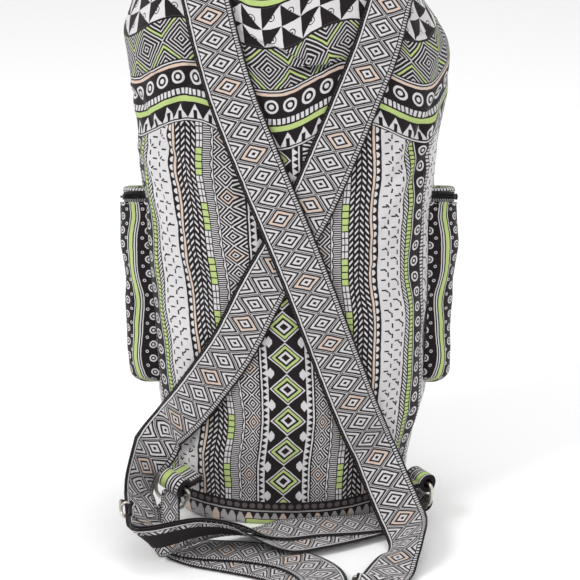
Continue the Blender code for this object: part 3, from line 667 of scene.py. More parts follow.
def back_y(x, z):
    a, b, n = half_w(z), half_d(z), squareness(z)
    u = min(abs(x - lean(z)) / a, 0.999)
    return -b * (1 - u ** n) ** (1 / n)


def back_normal(x, z):
    e = 1.0
    dydx = (back_y(x + e, z) - back_y(x - e, z)) / (2 * e)
    dydz = (back_y(x, z + e) - back_y(x, z - e)) / (2 * e)
    return Vector((dydx, -1.0, dydz)).normalized()


def smooth01(x):
    x = np.clip(x, 0.0, 1.0)
    return x * x * (3 - 2 * x)


# ================================================================ straps' lay (as the CAD has it)
STRAP_T, STRAP_W, PLY, WRAP_R, RING_DROP = 1.6, 38.0, 2.2, 7.0, 20.0
LEFT_BACK = [(-69.5, 470), (-66, 456), (-62.5, 442), (-60, 432), (-51.4, 395), (-40.2, 357),
             (-25.1, 318), (-9.5, 279), (3.3, 247), (18.9, 206), (35.5, 159), (52.5, 111),
             (61, 88)]
LEFT_LIFT = [0.8, 0.8, 0.8, 0.8, 0.8, 0.9, 2.4, 3.3, 3.4, 3.3, 2.0, 1.2, 2.4]
LEFT_FREE = [(V(71.4, -64.6, 64), V(.78, .39, .43), 38),
             (V(83, -77.5, 39), V(.92, .15, .355), 38),
             (V(92, -93, 22), V(.90, .10, .42), 38),
             (V(97, -111, 15), V(.80, .10, .60), 38),
             (V(94, -135, 14), V(.80, -.10, .59), 38),
             (V(85.6, -152, 7.4), V(.92, -.30, .2), 38)]
LEFT_RUN0, LEFT_RUN1 = V(80.5, -165, 4.7), V(63.8, -211, 4.7)
LEFT_RUN_W = V(.94, -.34, 0)
LEFT_DOWN = [(V(58, -222, 8.6), V(.75, -.6, .38), 38),
             (V(47, -227, 11.0), V(.15, -.85, .50), 38),
             (V(32, -219, 8.4), V(-.55, -.75, .35), 38),
             (V(21.5, -199, 4.4), V(-.78, -.60, .12), 38),
             (V(12, -175, 1.6), V(-.60, -.80, 0), 38),
             (V(-6, -157, 1.3), V(-.42, -.9, 0), 38),
             (V(-34, -143, 1.3), V(-.36, -.93, 0), 38),
             (V(-66, -130, 1.3), V(-.36, -.93, 0), 38),
             (V(-81, -122, 1.4), V(-.55, -.83, 0), 32),
             (V(-91, -110, 1.9), V(-.90, -.42, 0), 23),
             (V(-93, -97, 4.4), V(-.98, .05, .12), 16)]
RIGHT_BACK = [(88, 470), (86, 456), (82.4, 441), (79.3, 431), (68.4, 394), (53.7, 357),
              (37.8, 318), (21, 279), (4.1, 247), (-18.6, 206), (-41, 159), (-61, 127),
              (-75.5, 104), (-86, 88), (-93.5, 75)]
RIGHT_LIFT = [0.9, 0.9, 0.8, 0.8, 0.6, 0.5, 0.5, 0.5, 0.5, 0.5, 0.6, 1.2, 2.2, 3.2, 4.2]
RIGHT_FREE = [(V(-106, -49, 62), V(.55, -.42, -.62), 38),
              (V(-112.5, -59, 55), V(.50, .10, -.80), 38),
              (V(-117, -72, 46.5), V(.47, .42, -.72), 38),
              (V(-118.5, -83, 38), V(.52, .42, -.72), 38)]
RIGHT_MID = V(-113.5, -114, 26.4)
RIGHT_DIR = V(.10, -.97, -.20).normalized()
RIGHT_RUN_W = V(.70, .21, -.68)
RIGHT_DOWN = [(V(-102, -147, 21), V(.35, .45, -.82), 38),
              (V(-86, -143, 23.5), V(0, .50, -.86), 38),
              (V(-68, -129, 22.0), V(-.20, .60, -.77), 38),
              (V(-45, -119, 18.5), V(-.10, .80, -.60), 38),
              (V(-20, -117, 11.2), V(0, .96, -.28), 38),
              (V(3, -115, 6.6), V(0, 1, 0), 38),
              (V(30, -104, 6.2), V(-.38, .92, 0), 38),
              (V(56, -88.5, 5.4), V(-.48, .88, 0), 38),
              (V(79, -74.5, 5.2), V(-.5, .86, 0), 36),
              (V(95, -65, 7.4), V(-.5, .86, 0), 25)]
TAB_L, AXIS_L = V(-90, -76, 42), V(.80, -.50, -.33).normalized()
TAB_R, AXIS_R = V(110, -55, 36), V(-.50, .86, 0).normalized()


def hang(axis):
    down = V(0, 0, -1)
    return (down - axis * down.dot(axis)).normalized()


def wrap(centre, axis, width_dir, enter):
    h = hang(axis)
    t = enter.normalized()
    t = (t - axis * t.dot(axis)).normalized()
    n = t.cross(width_dir)
    pts = []
    for k in range(9):
        a = math.pi * k / 8
        pts.append((centre - n * WRAP_R * math.cos(a) + t * WRAP_R * math.sin(a),
                    width_dir.copy(), 15.0))
    return pts


def catmull(p, t):
    p0, p1, p2, p3 = p
    return 0.5 * ((2 * p1) + (p2 - p0) * t + (2 * p0 - 5 * p1 + 4 * p2 - p3) * t * t
                  + (3 * p1 - p0 - 3 * p2 + p3) * t ** 3)


def resample(stations, step):
    out = []
    n = len(stations)
    for i in range(n - 1):
        idx = [max(i - 1, 0), i, i + 1, min(i + 2, n - 1)]
        pts = [stations[j][0] for j in idx]
        length = (pts[2] - pts[1]).length
        k = max(1, int(round(length / step)))
        for j in range(k):
            t = j / k
            w = stations[i][1].lerp(stations[i + 1][1], t)
            out.append((catmull(pts, t), w, stations[i][2] * (1 - t) + stations[i + 1][2] * t))
    out.append((stations[-1][0].copy(), stations[-1][1].copy(), stations[-1][2]))
    return out


def frames(path):
    res = []
    for i, (p, w, width) in enumerate(path):
        t = (path[min(i + 1, len(path) - 1)][0] - path[max(i - 1, 0)][0]).normalized()
        w = (w - t * w.dot(t)).normalized()
        res.append((p, t, w, t.cross(w), width))
    return res


def on_back(points, lift):
    out = []
    for i, (x, z) in enumerate(points):
        n = back_normal(x, z)
        p = Vector((x, back_y(x, z), z)) + n * (STRAP_T / 2 + lift[i])
        a = points[max(i - 1, 0)]
        b = points[min(i + 1, len(points) - 1)]
        t = Vector((b[0] - a[0], back_y(*b) - back_y(*a), b[1] - a[1])).normalized()
        out.append((p, n.cross(t).normalized(), STRAP_W))
    return out


def strap_stations(back, lift, free, run0, run1, run_w, down, tab, axis, turn_w, enter,
                   side_shift, shift_from, keep_end):
    stations = on_back(back, lift) + free
    run = [(run0.lerp(run1, k), run_w, STRAP_W) for k in (-0.1, 0, 0.25, 0.5, 0.75, 1, 1.1)]
    h = hang(axis)
    ring_mid = tab + h * (RING_DROP - 1.3)
    loop = wrap(ring_mid, axis, turn_w, enter)
    fore = run + down
    pre = frames(fore + loop[:1])
    ret = []
    count = len(pre) - 1
    total = sum((pre[i + 1][0] - pre[i][0]).length for i in range(count))
    run_len = 0.0
    for i in range(count):
        p, t, w, n, width = pre[i]
        f = run_len / total
        left = total - run_len
        rise = PLY + max(0.0, 1 - left / 32.0) * (2 * WRAP_R - PLY) * 0.80
        shift = side_shift * max(0.0, math.sin(math.pi * min(max((f - shift_from) / (0.84 - shift_from), 0), 1)))
        ret.append((p + n * rise + w * shift, w.copy(), width))
        run_len += (pre[i + 1][0] - pre[i][0]).length
    ret = ret[keep_end:]
    return stations, fore, loop, list(reversed(ret))


LEFT_PARTS = strap_stations(LEFT_BACK, LEFT_LIFT, LEFT_FREE, LEFT_RUN0, LEFT_RUN1, LEFT_RUN_W,
                            LEFT_DOWN, TAB_L, AXIS_L, -AXIS_L, V(.53, .847, 0), -20.0, 0.30, 4)
RIGHT_PARTS = strap_stations(RIGHT_BACK, RIGHT_LIFT, RIGHT_FREE, RIGHT_MID - RIGHT_DIR * 24,
                             RIGHT_MID + RIGHT_DIR * 24, RIGHT_RUN_W, RIGHT_DOWN, TAB_R, AXIS_R,
                             AXIS_R, V(.86, .50, 0), 20.0, 0.42, 4)


# ================================================================ body cloth
def seg_dist(px, pz, line):
    """Distance in the x-z plane to a polyline."""
    best = np.full(px.shape, 1e9)
    for (x0, z0), (x1, z1) in zip(line, line[1:]):
        dx, dz = x1 - x0, z1 - z0
        t = np.clip(((px - x0) * dx + (pz - z0) * dz) / (dx * dx + dz * dz), 0, 1)
        best = np.minimum(best, np.hypot(px - x0 - t * dx, pz - z0 - t * dz))
    return best


def ring_points(z, count):
    """Points evenly spaced round the body at one height, starting at the back's middle, and their outward normals."""
    a, b, n, lx = half_w(z), half_d(z), squareness(z), lean(z)
    ang = np.linspace(-math.pi / 2, 1.5 * math.pi, 2881)
    c, s = np.cos(ang), np.sin(ang)
    x = a * np.sign(c) * np.abs(c) ** (2 / n)
    y = b * np.sign(s) * np.abs(s) ** (2 / n)
    seg = np.hypot(np.diff(x), np.diff(y))
    cum = np.concatenate([[0], np.cumsum(seg)])
    per = cum[-1]
    want = np.arange(count) / count * per
    px, py = np.interp(want, cum, x), np.interp(want, cum, y)
    gx = np.sign(px) * np.abs(px / a) ** (n - 1) / a
    gy = np.sign(py) * np.abs(py / b) ** (n - 1) / b
    l = np.hypot(gx, gy)
    return px + lx, py, gx / l, gy / l, per


def fold(z, x, z0, slope, depth, width, x0, x1, tail=26.0):
    """A soft fold of cloth: swells towards its lower edge, then tucks in sharply. Positive is outward."""
    line = z0 + slope * (x - 0.5 * (x0 + x1))
    t = z - line
    up = np.where(t > 0, np.exp(-np.abs(t) / tail), 0.0)
    tuck = smooth01(t / width + 0.5)
    env = smooth01((x - x0) / 16.0) * smooth01((x1 - x) / 16.0)
    return depth * up * tuck * env


def body_cloth():
    K, J = 256, 236
    zs = np.unique(np.concatenate([np.linspace(3.4, 30, 15), np.linspace(30, 360, 96),
                                   np.linspace(360, 470, 88), np.linspace(470, 485.4, 22)]))
    J = len(zs)
    P = np.zeros((J, K, 3))
    N = np.zeros((J, K, 2))
    per = np.zeros(J)
    for j, z in enumerate(zs):
        x, y, nx, ny, per[j] = ring_points(float(z), K)
        P[j, :, 0], P[j, :, 1], P[j, :, 2] = x, y, z
        N[j, :, 0], N[j, :, 1] = nx, ny
    X, Y, Z = P[..., 0], P[..., 1], P[..., 2]
    th = np.arange(K) / K * 2 * math.pi            # 0 at the back's middle
    TH = np.tile(th, (J, 1))
    back = Y < 0
    # room that the straps need: the cloth stays in under them
    dl = seg_dist(X, Z, LEFT_BACK + [(71.4, 64), (83, 39)])
    dr = seg_dist(X, Z, RIGHT_BACK + [(-106, 62)])
    near_strap = np.where(back, np.minimum(dl, dr), 1e9)
    free = smooth01((near_strap - 20.5) / 15.0)
    # soft swell and slouch
    D = np.zeros_like(X)
    D += 1.5 * np.sin(TH * 3 + 0.6 + Z / 61.0) * np.sin(Z / 47.0 + 1.1)
    D += 1.2 * np.sin(TH * 7 - Z / 33.0) * np.sin(Z / 29.0 + TH * 2)
    D += 0.8 * np.sin(TH * 13 + Z / 19.0 + 1.3 * np.sin(Z / 41.0))
    D += 0.5 * np.sin(TH * 22 - Z / 13.0 + 1.9 * np.sin(Z / 31.0 + TH * 3)) * smooth01((Z - 20) / 60.0)
    # slack between and beside the straps
    D += 1.4 * np.exp(-((Z - 330) / 46.0) ** 2) * np.exp(-(X / 40.0) ** 2) * back
    # drawn-in folds that run down from the mouth
    top = smooth01((Z - 402) / 72.0)
    ph = TH * 17 + 1.7 * np.sin(TH * 3 + 0.4) + 0.9 * np.sin(TH * 5 + 2.0)
    D += top * (2.3 * np.sin(ph) + 1.1 * np.sin(ph * 1.9 + 0.7)) * (1 - 0.35 * smooth01((Z - 470) / 14))
    D -= 1.2 * top
    # slouch folds at the upper middle of the back
    S = fold(Z, X, 388, 0.12, 7.2, 3.0, -4, 62, 26)
    S -= 2.6 * np.exp(-((Z - 384 - 0.12 * (X - 29)) / 3.0) ** 2) * smooth01((X + 2) / 14.0) * smooth01((60 - X) / 14.0)
    S += fold(Z, X, 400, -0.34, 5.2, 3.4, -38, 22, 22)
    S += fold(Z, X, 372, -0.22, 2.4, 4.0, 18, 62, 18)
    S += fold(Z, X, 402, 0.16, 2.4, 3.6, 84, 128, 20)
    S += fold(Z, X, 374, 0.20, 1.8, 4.5, -128, -72, 24)
    # mirrored, weaker folds on the front
    F = fold(Z, X, 378, 0.14, 2.8, 6.0, -84, 10, 34)
    F += fold(Z, X, 398, -0.20, 2.4, 6.0, -6, 92, 34)
    F += fold(Z, X, 338, 0.10, 1.8, 7.0, -30, 96, 30)
    F += fold(Z, X, 300, -0.12, 1.8, 6.0, -100, -20, 24)
    # tension creases that run from the strap ends and the pockets' corners
    C = np.zeros_like(X)
    for x0, z0, x1, z1, dep in ((-112, 300, -62, 210, 0.9), (110, 306, 64, 232, 0.9),
                                (-118, 350, -80, 300, 1.2), (120, 352, 82, 292, 1.2),
                                (-98, 92, -70, 52, 0.9), (100, 88, 96, 40, 0.8),
                                (-30, 196, -60, 110, 0.8), (6, 190, 22, 120, 0.7),
                                (-64, 392, -96, 330, 1.4), (74, 372, 112, 322, 1.3)):
        dd = seg_dist(X, Z, [(x0, z0), (x1, z1)])
        C -= 1.5 * dep * (np.exp(-(dd / 3.0) ** 2) - 0.6 * np.exp(-((dd - 7.0) / 3.6) ** 2))
    D = D + np.where(back, S + C, F + 0.8 * C)
    # foot: held by the base panel; seam of the border band
    foot = smooth01((Z - 6) / 40.0)
    D = D * (0.12 + 0.88 * foot)
    seam = 27.5 - 5.5 * np.clip(1 - (X / 88.0) ** 2, 0, 1)
    D -= 0.7 * np.exp(-((Z - seam) / 1.1) ** 2)
    D += 0.35 * np.exp(-((Z - seam - 3.0) / 1.8) ** 2) * np.sin(TH * 46)
    # gathered edge under the hem
    edge = smooth01((Z - 474) / 10.0)
    D = D * (1 - 0.72 * edge) - 0.9 * edge
    # keep in under the pockets and straps
    side = (np.abs(X) > 88) & (Y > -35) & (Y < 55) & (Z < 283 - 0.28 * (Y + 30)) & (Z > 104)
    sd = np.where(side, 0.0, 1.0)
    for _ in range(6):
        sd = (sd + np.roll(sd, 1, 1) + np.roll(sd, -1, 1)) / 3
        sd[1:-1] = (sd[1:-1] + sd[2:] + sd[:-2]) / 3
    D = np.where(D > 0, D * sd, D)
    D = np.where(back, np.minimum(D, 0.25) * (1 - free) + D * free - 0.25 * (1 - free), D)
    D = np.clip(D, -4.2, 9.5)
    # the shoulders of the cloth fall in towards the mouth, more at the right
    D -= 9.0 * smooth01((Z - 388) / 36.0) * smooth01((N[..., 0] - 0.30) / 0.6) * (1 - 0.75 * edge)
    D -= 4.0 * smooth01((Z - 395) / 40.0) * smooth01((-N[..., 0] - 0.35) / 0.6) * (1 - 0.75 * edge)
    D -= 2.0 * smooth01((Z - 300) / 30.0) * smooth01((400 - Z) / 30.0) * smooth01((-N[..., 0] - 0.5) / 0.5)
    X2, Y2 = X + N[..., 0] * D, Y + N[..., 1] * D
    Z2 = Z.copy()
    # the cloth of the slouch folds hangs a little over its tuck
    sag = np.where(back, S * free, F)
    Z2 -= 0.45 * np.clip(sag, 0, 9) * (Z < 470)
    # the foot of the cloth rolls down over the edge of the base panel
    Z2 -= 3.0 * (1 - smooth01((Z - 3.4) / 11.0))
    outer = np.stack([X2, Y2, Z2], -1)
    tin = 1.5
    inner = np.stack([X2 - N[..., 0] * tin, Y2 - N[..., 1] * tin, Z2], -1)
    # print coordinates: upright length and length round from each panel's middle
    zd = zs - 3.0 * (1 - smooth01((zs - 3.4) / 11.0))
    vlen = np.concatenate([[0], np.cumsum(np.hypot(np.diff(zd), np.diff([half_d(float(z)) for z in zs])))])
    uv = np.zeros((J, K, 4))
    ks = np.arange(K)
    fr0, fr1 = ks / K, (ks + 1) / K
    mid = (fr0 + fr1) / 2
    panel = np.where((mid > 0.25) & (mid < 0.75), 0.5, np.where(mid >= 0.75, 1.0, 0.0))
    for j, z in enumerate(zs):
        shift = 2.4 + 12.0 * smooth01(np.array((z - 60) / 340.0))
        for q, fr in ((0, fr0), (2, fr1)):
            u = (fr - panel) * per[j]
            u = np.where(panel == 0.5, u, u + shift)
            uv[j, :, q] = u
            uv[j, :, q + 1] = vlen[j]
    pts = np.concatenate([outer, inner[::-1]], 0)
    uv2 = np.concatenate([uv, uv[::-1]], 0)
    me = grid_mesh("body_cloth", pts, True, [M_BODY, M_LINING], uv2)
    idx = np.zeros((2 * J - 1, K), np.int32)
    idx[J - 1:] = 1
    me.polygons.foreach_set("material_index", idx.ravel())
    me.update()
    return me, outer, zs


body_me, BODY_OUTER, BODY_ZS = body_cloth()
# close the foot edge between cloth and lining
bm = bmesh.new()
bm.from_mesh(body_me)
rim = [e for e in bm.edges if e.is_boundary]
bmesh.ops.bridge_loops(bm, edges=rim)
bm.to_mesh(body_me)
bm.free()
body_me.shade_smooth()
piece("body_cloth", body_me, "bag", "body_canvas", "bag_shell")


# ================================================================ folded hem round the mouth
def mouth_hem():
    K = 320
    zc, hh, tt = 495.0, 8.0, 2.0
    prof = []
    for k in range(20):
        a = 2 * math.pi * k / 20
        c, s = math.cos(a), math.sin(a)
        prof.append((math.copysign(abs(c) ** 0.62, c) * tt, math.copysign(abs(s) ** 0.42, s) * hh))
    x, y, nx, ny, per = ring_points(zc, K)
    th = np.arange(K) / K * 2 * math.pi
    calm = 1 - np.exp(-((np.arange(K) / K - 0.5) * per / 26.0) ** 4)
    rip = (1.0 * np.sin(th * 34 + 1.5 * np.sin(th * 4)) + 0.6 * np.sin(th * 21 + 1)) * calm
    drop = (0.5 * np.sin(th * 9 + 0.5) + 0.4 * np.sin(th * 23)) * calm
    pts = np.zeros((len(prof), K, 3))
    for i, (pn, pz) in enumerate(prof):
        lo = max(0.0, -pz / hh)
        base = 1.0 + 0.6 * math.cos(pz / hh * 1.4)
        off = base + pn * (1 - 0.25 * lo) + rip * (0.62 if pn > 0 else 0.25)
        pts[i, :, 0] = x + nx * off
        pts[i, :, 1] = y + ny * off
        pts[i, :, 2] = zc + pz + drop * (0.5 if pz > 0 else 0.2)
    pts = np.concatenate([pts, pts[:1]], 0)
    uv = np.zeros((len(pts), K, 4))
    run = 0.0
    for i in range(len(pts)):
        if i:
            run += math.hypot(prof[i % len(prof)][0] - prof[i - 1][0], prof[i % len(prof)][1] - prof[i - 1][1])
        for q, o in ((0, 0), (2, 1)):
            uv[i, :, q] = (np.arange(K) + o) / K * per
            uv[i, :, q + 1] = run
    me = grid_mesh("mouth_hem", pts, True, [M_HEM], uv)
    bm = bmesh.new()
    bm.from_mesh(me)
    bmesh.ops.remove_doubles(bm, verts=bm.verts, dist=1e-6)
    bm.to_mesh(me)
    bm.free()
    me.shade_smooth()
    return me, (x, y, nx, ny, rip)


def hem_print(tree, u, v):
    q = near(u, 12.0) / 6.0 + near(v, 20.0, 10.0) / 7.0
    c = paint(tree, INK, PALE, between(q, 0.55, 0.8, 0.05))
    c = paint(tree, c, LIME, below(q, 0.25, 0.05))
    return c


M_HEM = make_print("hem_canvas_print", hem_print)
hem_me, HEM = mouth_hem()
piece("mouth_hem", hem_me, "bag", "body_canvas", "mouth_casing")


# ================================================================ straps
def ribbon_mesh(name, fr, thick, flip, crown=0.0):
    """Strap cloth with turned edges, printed on one face and plain dark on the other. flip: rows printed on the face under."""
    n_top = 9
    xs = np.linspace(-1, 1, n_top)
    P, U = [], []
    run = 0.0
    prev = None
    for p, t, w, n, width in fr:
        if prev is not None:
            run += (p - prev).length
        prev = p
        h = width / 2
        row = []
        us = []
        # printed face
        for a in xs:
            edge = 1 - abs(a) ** 6 * 0.30
            row.append(p + w * (a * (h - 0.35)) + n * (thick / 2 * edge + crown * (1 - a * a)))
            us.append(a * h)
        row.append(p + w * h)
        us.append(h + 0.4)
        # underside
        for a in xs[::-1]:
            edge = 1 - abs(a) ** 6 * 0.30
            row.append(p + w * (a * (h - 0.35)) + n * (-thick / 2 * edge + crown * (1 - a * a)))
            us.append(a * h)
        row.append(p - w * h)
        us.append(-h - 0.4)
        P.append([tuple(v) for v in row])
        U.append([(u * (38.0 / max(width, 1.0)), run) for u in us])
    pts = np.array(P)
    J, K = pts.shape[:2]
    Ua = np.array(U)
    uv = np.zeros((J, K, 4))
    uv[:, :, 0:2] = Ua
    uv[:, :, 2:4] = np.roll(Ua, -1, axis=1)
    me = grid_mesh(name, pts, True, [M_STRAP, M_UNDER], uv)
    idx = np.zeros((J - 1, K), np.int32)
    idx[:, n_top:2 * n_top] = 1
    over = np.array(flip[:J - 1], bool)
    idx[over, :n_top] = 1
    idx[over, n_top:2 * n_top] = 0
    idx[over, -1] = 0
    me.polygons.foreach_set("material_index", idx.ravel())
    bm = bmesh.new()
    bm.from_mesh(me)
    bm.verts.ensure_lookup_table()
    uvl = bm.loops.layers.uv.get("print")
    for base, first in ((0, True), ((J - 1) * K, False)):
        ring = [bm.verts[base + k] for k in range(K)]
        if first:
            ring.reverse()
        f = bm.faces.new(ring)
        f.material_index = 1
        for l in f.loops:
            l[uvl].uv = (0.0185, 0.0)
    bm.to_mesh(me)
    bm.free()
    me.shade_smooth()
    me.set_sharp_from_angle(angle=math.radians(60))
    return me


def smooth_path(path, rounds=2, keep=None, reach=13.0):
    """Evens a path out, except round the point keep, where it stays as it is."""
    pts = [p[0] for p in path]
    ws = [p[1] for p in path]
    hold = [keep is not None and (p - keep).length < reach for p in pts]
    for _ in range(rounds):
        pts = [pts[0]] + [b if h else (a + b * 2 + c) / 4
                          for a, b, c, h in zip(pts, pts[1:], pts[2:], hold[1:])] + [pts[-1]]
        ws = [ws[0]] + [b if h else (a + b * 2 + c) / 4
                        for a, b, c, h in zip(ws, ws[1:], ws[2:], hold[1:])] + [ws[-1]]
    return [(p, w, o[2]) for p, w, o in zip(pts, ws, path)]


def stitches(name, rows, mat, length=2.0, gap=1.4, rad=0.30, lift=0.0):
    """Small raised stitches. rows: lists of (point, normal); spaced by arc length."""
    verts, faces = [], []
    for row in rows:
        pts = [r[0] for r in row]
        cum = [0.0]
        for a, b in zip(pts, pts[1:]):
            cum.append(cum[-1] + (b - a).length)
        s = gap
        i = 0
        while s + length < cum[-1]:
            ends = []
            for q in (s, s + length):
                while i < len(cum) - 2 and cum[i + 1] < q:
                    i += 1
                f = (q - cum[i]) / max(cum[i + 1] - cum[i], 1e-6)
                ends.append((pts[i].lerp(pts[i + 1], f), row[i][1]))
            (a, na), (b, nb) = ends
            t = (b - a).normalized()
            side = t.cross(na).normalized()
            base = len(verts)
            for f, up, wd in ((0.0, -0.15, 0.75), (0.3, 0.85, 1.0), (0.7, 0.85, 1.0), (1.0, -0.15, 0.75)):
                c = a.lerp(b, f)
                n = na
                verts.append(c + side * rad * wd + n * (lift - 0.1))
                verts.append(c + n * (lift + rad * up))
                verts.append(c - side * rad * wd + n * (lift - 0.1))
            for q in range(3):
                o = base + q * 3
                faces += [(o, o + 3, o + 4, o + 1), (o + 1, o + 4, o + 5, o + 2), (o + 2, o + 5, o + 3, o)]
            faces += [(base, base + 1, base + 2), (base + 9, base + 11, base + 10)]
            s += length + gap
    me = bpy.data.meshes.new(name)
    me.from_pydata([tuple(v * MM) for v in verts], [], faces)
    me.materials.append(mat)
    me.shade_smooth()
    me.update()
    return me


def strap_piece(side, parts, node):
    stations, fore, loop, ret = parts
    path = resample(stations + fore + loop + ret, 3.2)
    mid = loop[4][0]
    path = smooth_path(path, 3, loop[0][0].lerp(loop[8][0], 0.5))
    fr = frames(path)
    turn = min(range(len(fr)), key=lambda i: (fr[i][0] - mid).length)
    flip = [i > turn for i in range(len(fr))]
    me = ribbon_mesh("shoulder_strap_" + side, fr, STRAP_T, flip)
    piece("shoulder_strap_" + side, me, "bag", "strap_canvas", node)
    # white stitch rows along both edges of the dark face, dark ones on the print
    rows, dark = [], []
    slot = RIGHT_MID if side == "right" else LEFT_RUN0.lerp(LEFT_RUN1, 0.5)
    for a, b, sg in ((0, turn, 1), (turn, len(fr), -1)):
        part = fr[a:b]
        for s in (-1, 1):
            # none where the slide travels
            row = []
            for p, t, w, n, width in part:
                if (p - slot).length < 44.0:
                    if len(row) > 2:
                        rows.append(row)
                    row = []
                    continue
                row.append((p + w * s * (width / 2 - 1.7) - n * sg * (STRAP_T / 2), -n * sg))
            if len(row) > 2:
                rows.append(row)
            dark.append([(p + w * s * (width / 2 - 1.5) + n * sg * (STRAP_T / 2 - 0.08), n * sg)
                         for p, t, w, n, width in part])
    piece("strap_stitch_under_" + side, stitches("strap_stitch_under_" + side, rows, M_THREAD, 1.1, 3.6, 0.34),
          "bag", "strap_canvas")
    piece("strap_stitch_top_" + side, stitches("strap_stitch_top_" + side, dark, M_THREAD_DARK, 1.9, 1.0, 0.24),
          "bag", "strap_canvas")
    # cross-stitched box at the sewn upper end
    p, t, w, n, width = fr[2]
    q = fr[9]
    rows = []
    for a, b in (((-1, 2), (1, 2)), ((-1, 9), (1, 9)), ((-1, 2), (1, 9)), ((1, 2), (-1, 9))):
        A, B = fr[a[1]], fr[b[1]]
        pa = A[0] + A[2] * a[0] * 14 + A[3] * (STRAP_T / 2 - 0.05)
        pb = B[0] + B[2] * b[0] * 14 + B[3] * (STRAP_T / 2 - 0.05)
        rows.append([(pa.lerp(pb, k / 6), A[3]) for k in range(7)])
    piece("strap_box_stitch_" + side, stitches("strap_box_stitch_" + side, rows, M_THREAD, 2.0, 1.0, 0.3),
          "bag", "strap_canvas")
    return fr


FR_LEFT = strap_piece("left", LEFT_PARTS, "strap_left")
FR_RIGHT = strap_piece("right", RIGHT_PARTS, "strap_right")


# ================================================================ rods, rings, slides
def tube(name, path, rad, mat, closed=False, sides=16, squash=None):
    """Smooth rod along a path of points in mm, with rounded ends when open."""
    pts = [Vector(p) for p in path]
    n = len(pts)
    rings = []
    prev = None
    rr = [rad] * n
    if not closed:
        t0 = (pts[0] - pts[1]).normalized()
        t1 = (pts[-1] - pts[-2]).normalized()
        pre = [pts[0] + t0 * rad * math.sin(a) for a in (1.45, 1.1, 0.6)]
        post = [pts[-1] + t1 * rad * math.sin(a) for a in (0.6, 1.1, 1.45)]
        rr = [rad * math.cos(a) for a in (1.45, 1.1, 0.6)] + rr + [rad * math.cos(a) for a in (0.6, 1.1, 1.45)]
        pts = pre + pts + post
        n = len(pts)
    up = None
    for i in range(n):
        a, b = (pts[(i - 1) % n], pts[(i + 1) % n]) if closed else (pts[max(i - 1, 0)], pts[min(i + 1, n - 1)])
        t = (b - a).normalized()
        if up is None:
            up = t.orthogonal().normalized()
        up = (up - t * up.dot(t)).normalized()
        sd = t.cross(up)
        rings.append([pts[i] + (up * math.cos(2 * math.pi * k / sides) + sd * math.sin(2 * math.pi * k / sides)) * rr[i]
                      for k in range(sides)])
    bm = bmesh.new()
    vs = [[bm.verts.new(p * MM) for p in r] for r in rings]
    m = n if closed else n - 1
    off = 0
    if closed:
        best = min(range(sides), key=lambda o: (rings[0][o] - rings[-1][0]).length)
        off = best
    for i in range(m):
        lo, hi = vs[i], vs[(i + 1) % n]
        o = off if (closed and i == n - 1) else 0
        for k in range(sides):
            bm.faces.new((lo[k], lo[(k + 1) % sides], hi[(k + 1 + o) % sides], hi[(k + o) % sides]))
    if not closed:
        bm.faces.new(list(reversed(vs[0])))
        bm.faces.new(vs[-1])
    bmesh.ops.recalc_face_normals(bm, faces=bm.faces)
    me = bpy.data.meshes.new(name)
    bm.to_mesh(me)
    bm.free()
    me.materials.append(mat)
    me.shade_smooth()
    return me


def joined(name, meshes):
    bm = bmesh.new()
    mats = []
    for me in meshes:
        base = len(mats)
        count = len(bm.faces)
        bm.from_mesh(me)
        bm.faces.ensure_lookup_table()
        for f in bm.faces[count:]:
            f.material_index += base
        mats += list(me.materials)
    out = bpy.data.meshes.new(name)
    bm.to_mesh(out)
    bm.free()
    uniq = []
    remap = []
    for m in mats:
        if m not in uniq:
            uniq.append(m)
        remap.append(uniq.index(m))
    for m in uniq:
        out.materials.append(m)
    for p in out.polygons:
        p.material_index = remap[p.material_index]
    return out


def d_ring(side, at, axis, body, node):
    h = hang(axis)
    local = []
    for k in range(49):
        a = math.pi * k / 48
        c, s = math.cos(a), math.sin(a)
        e = 2 / 3.6
        local.append((16.0 * math.copysign(abs(c) ** e, c), 20.0 * abs(s) ** e))
    local += [(-16.0 + 32.0 * k / 16, 0.0) for k in range(1, 16)]
    # round the bar's corners
    pts = [at + axis * x + h * y for x, y in local]
    pts = [pts[i] for i in range(len(pts)) if (pts[i] - pts[i - 1]).length > 0.05]
    for _ in range(2):
        pts = [(pts[i - 1] + pts[i] * 2 + pts[(i + 1) % len(pts)]) / 4 for i in range(len(pts))]
    me = tube("d_ring_" + side, pts, 1.55, M_METAL, closed=True, sides=20)
    piece("d_ring_" + side, me, body, "antique_metal", node)


d_ring("left", TAB_L, AXIS_L, "hook_ring_left", "ring_left")
d_ring("right", TAB_R, AXIS_R, "hook_ring_right", "ring_right")


def basis(x, y, z, at):
    m = Matrix((x, y, z)).transposed().to_4x4()
    m.translation = at
    return m


BUCKLE_W, BUCKLE_L = 46.0, 23.0


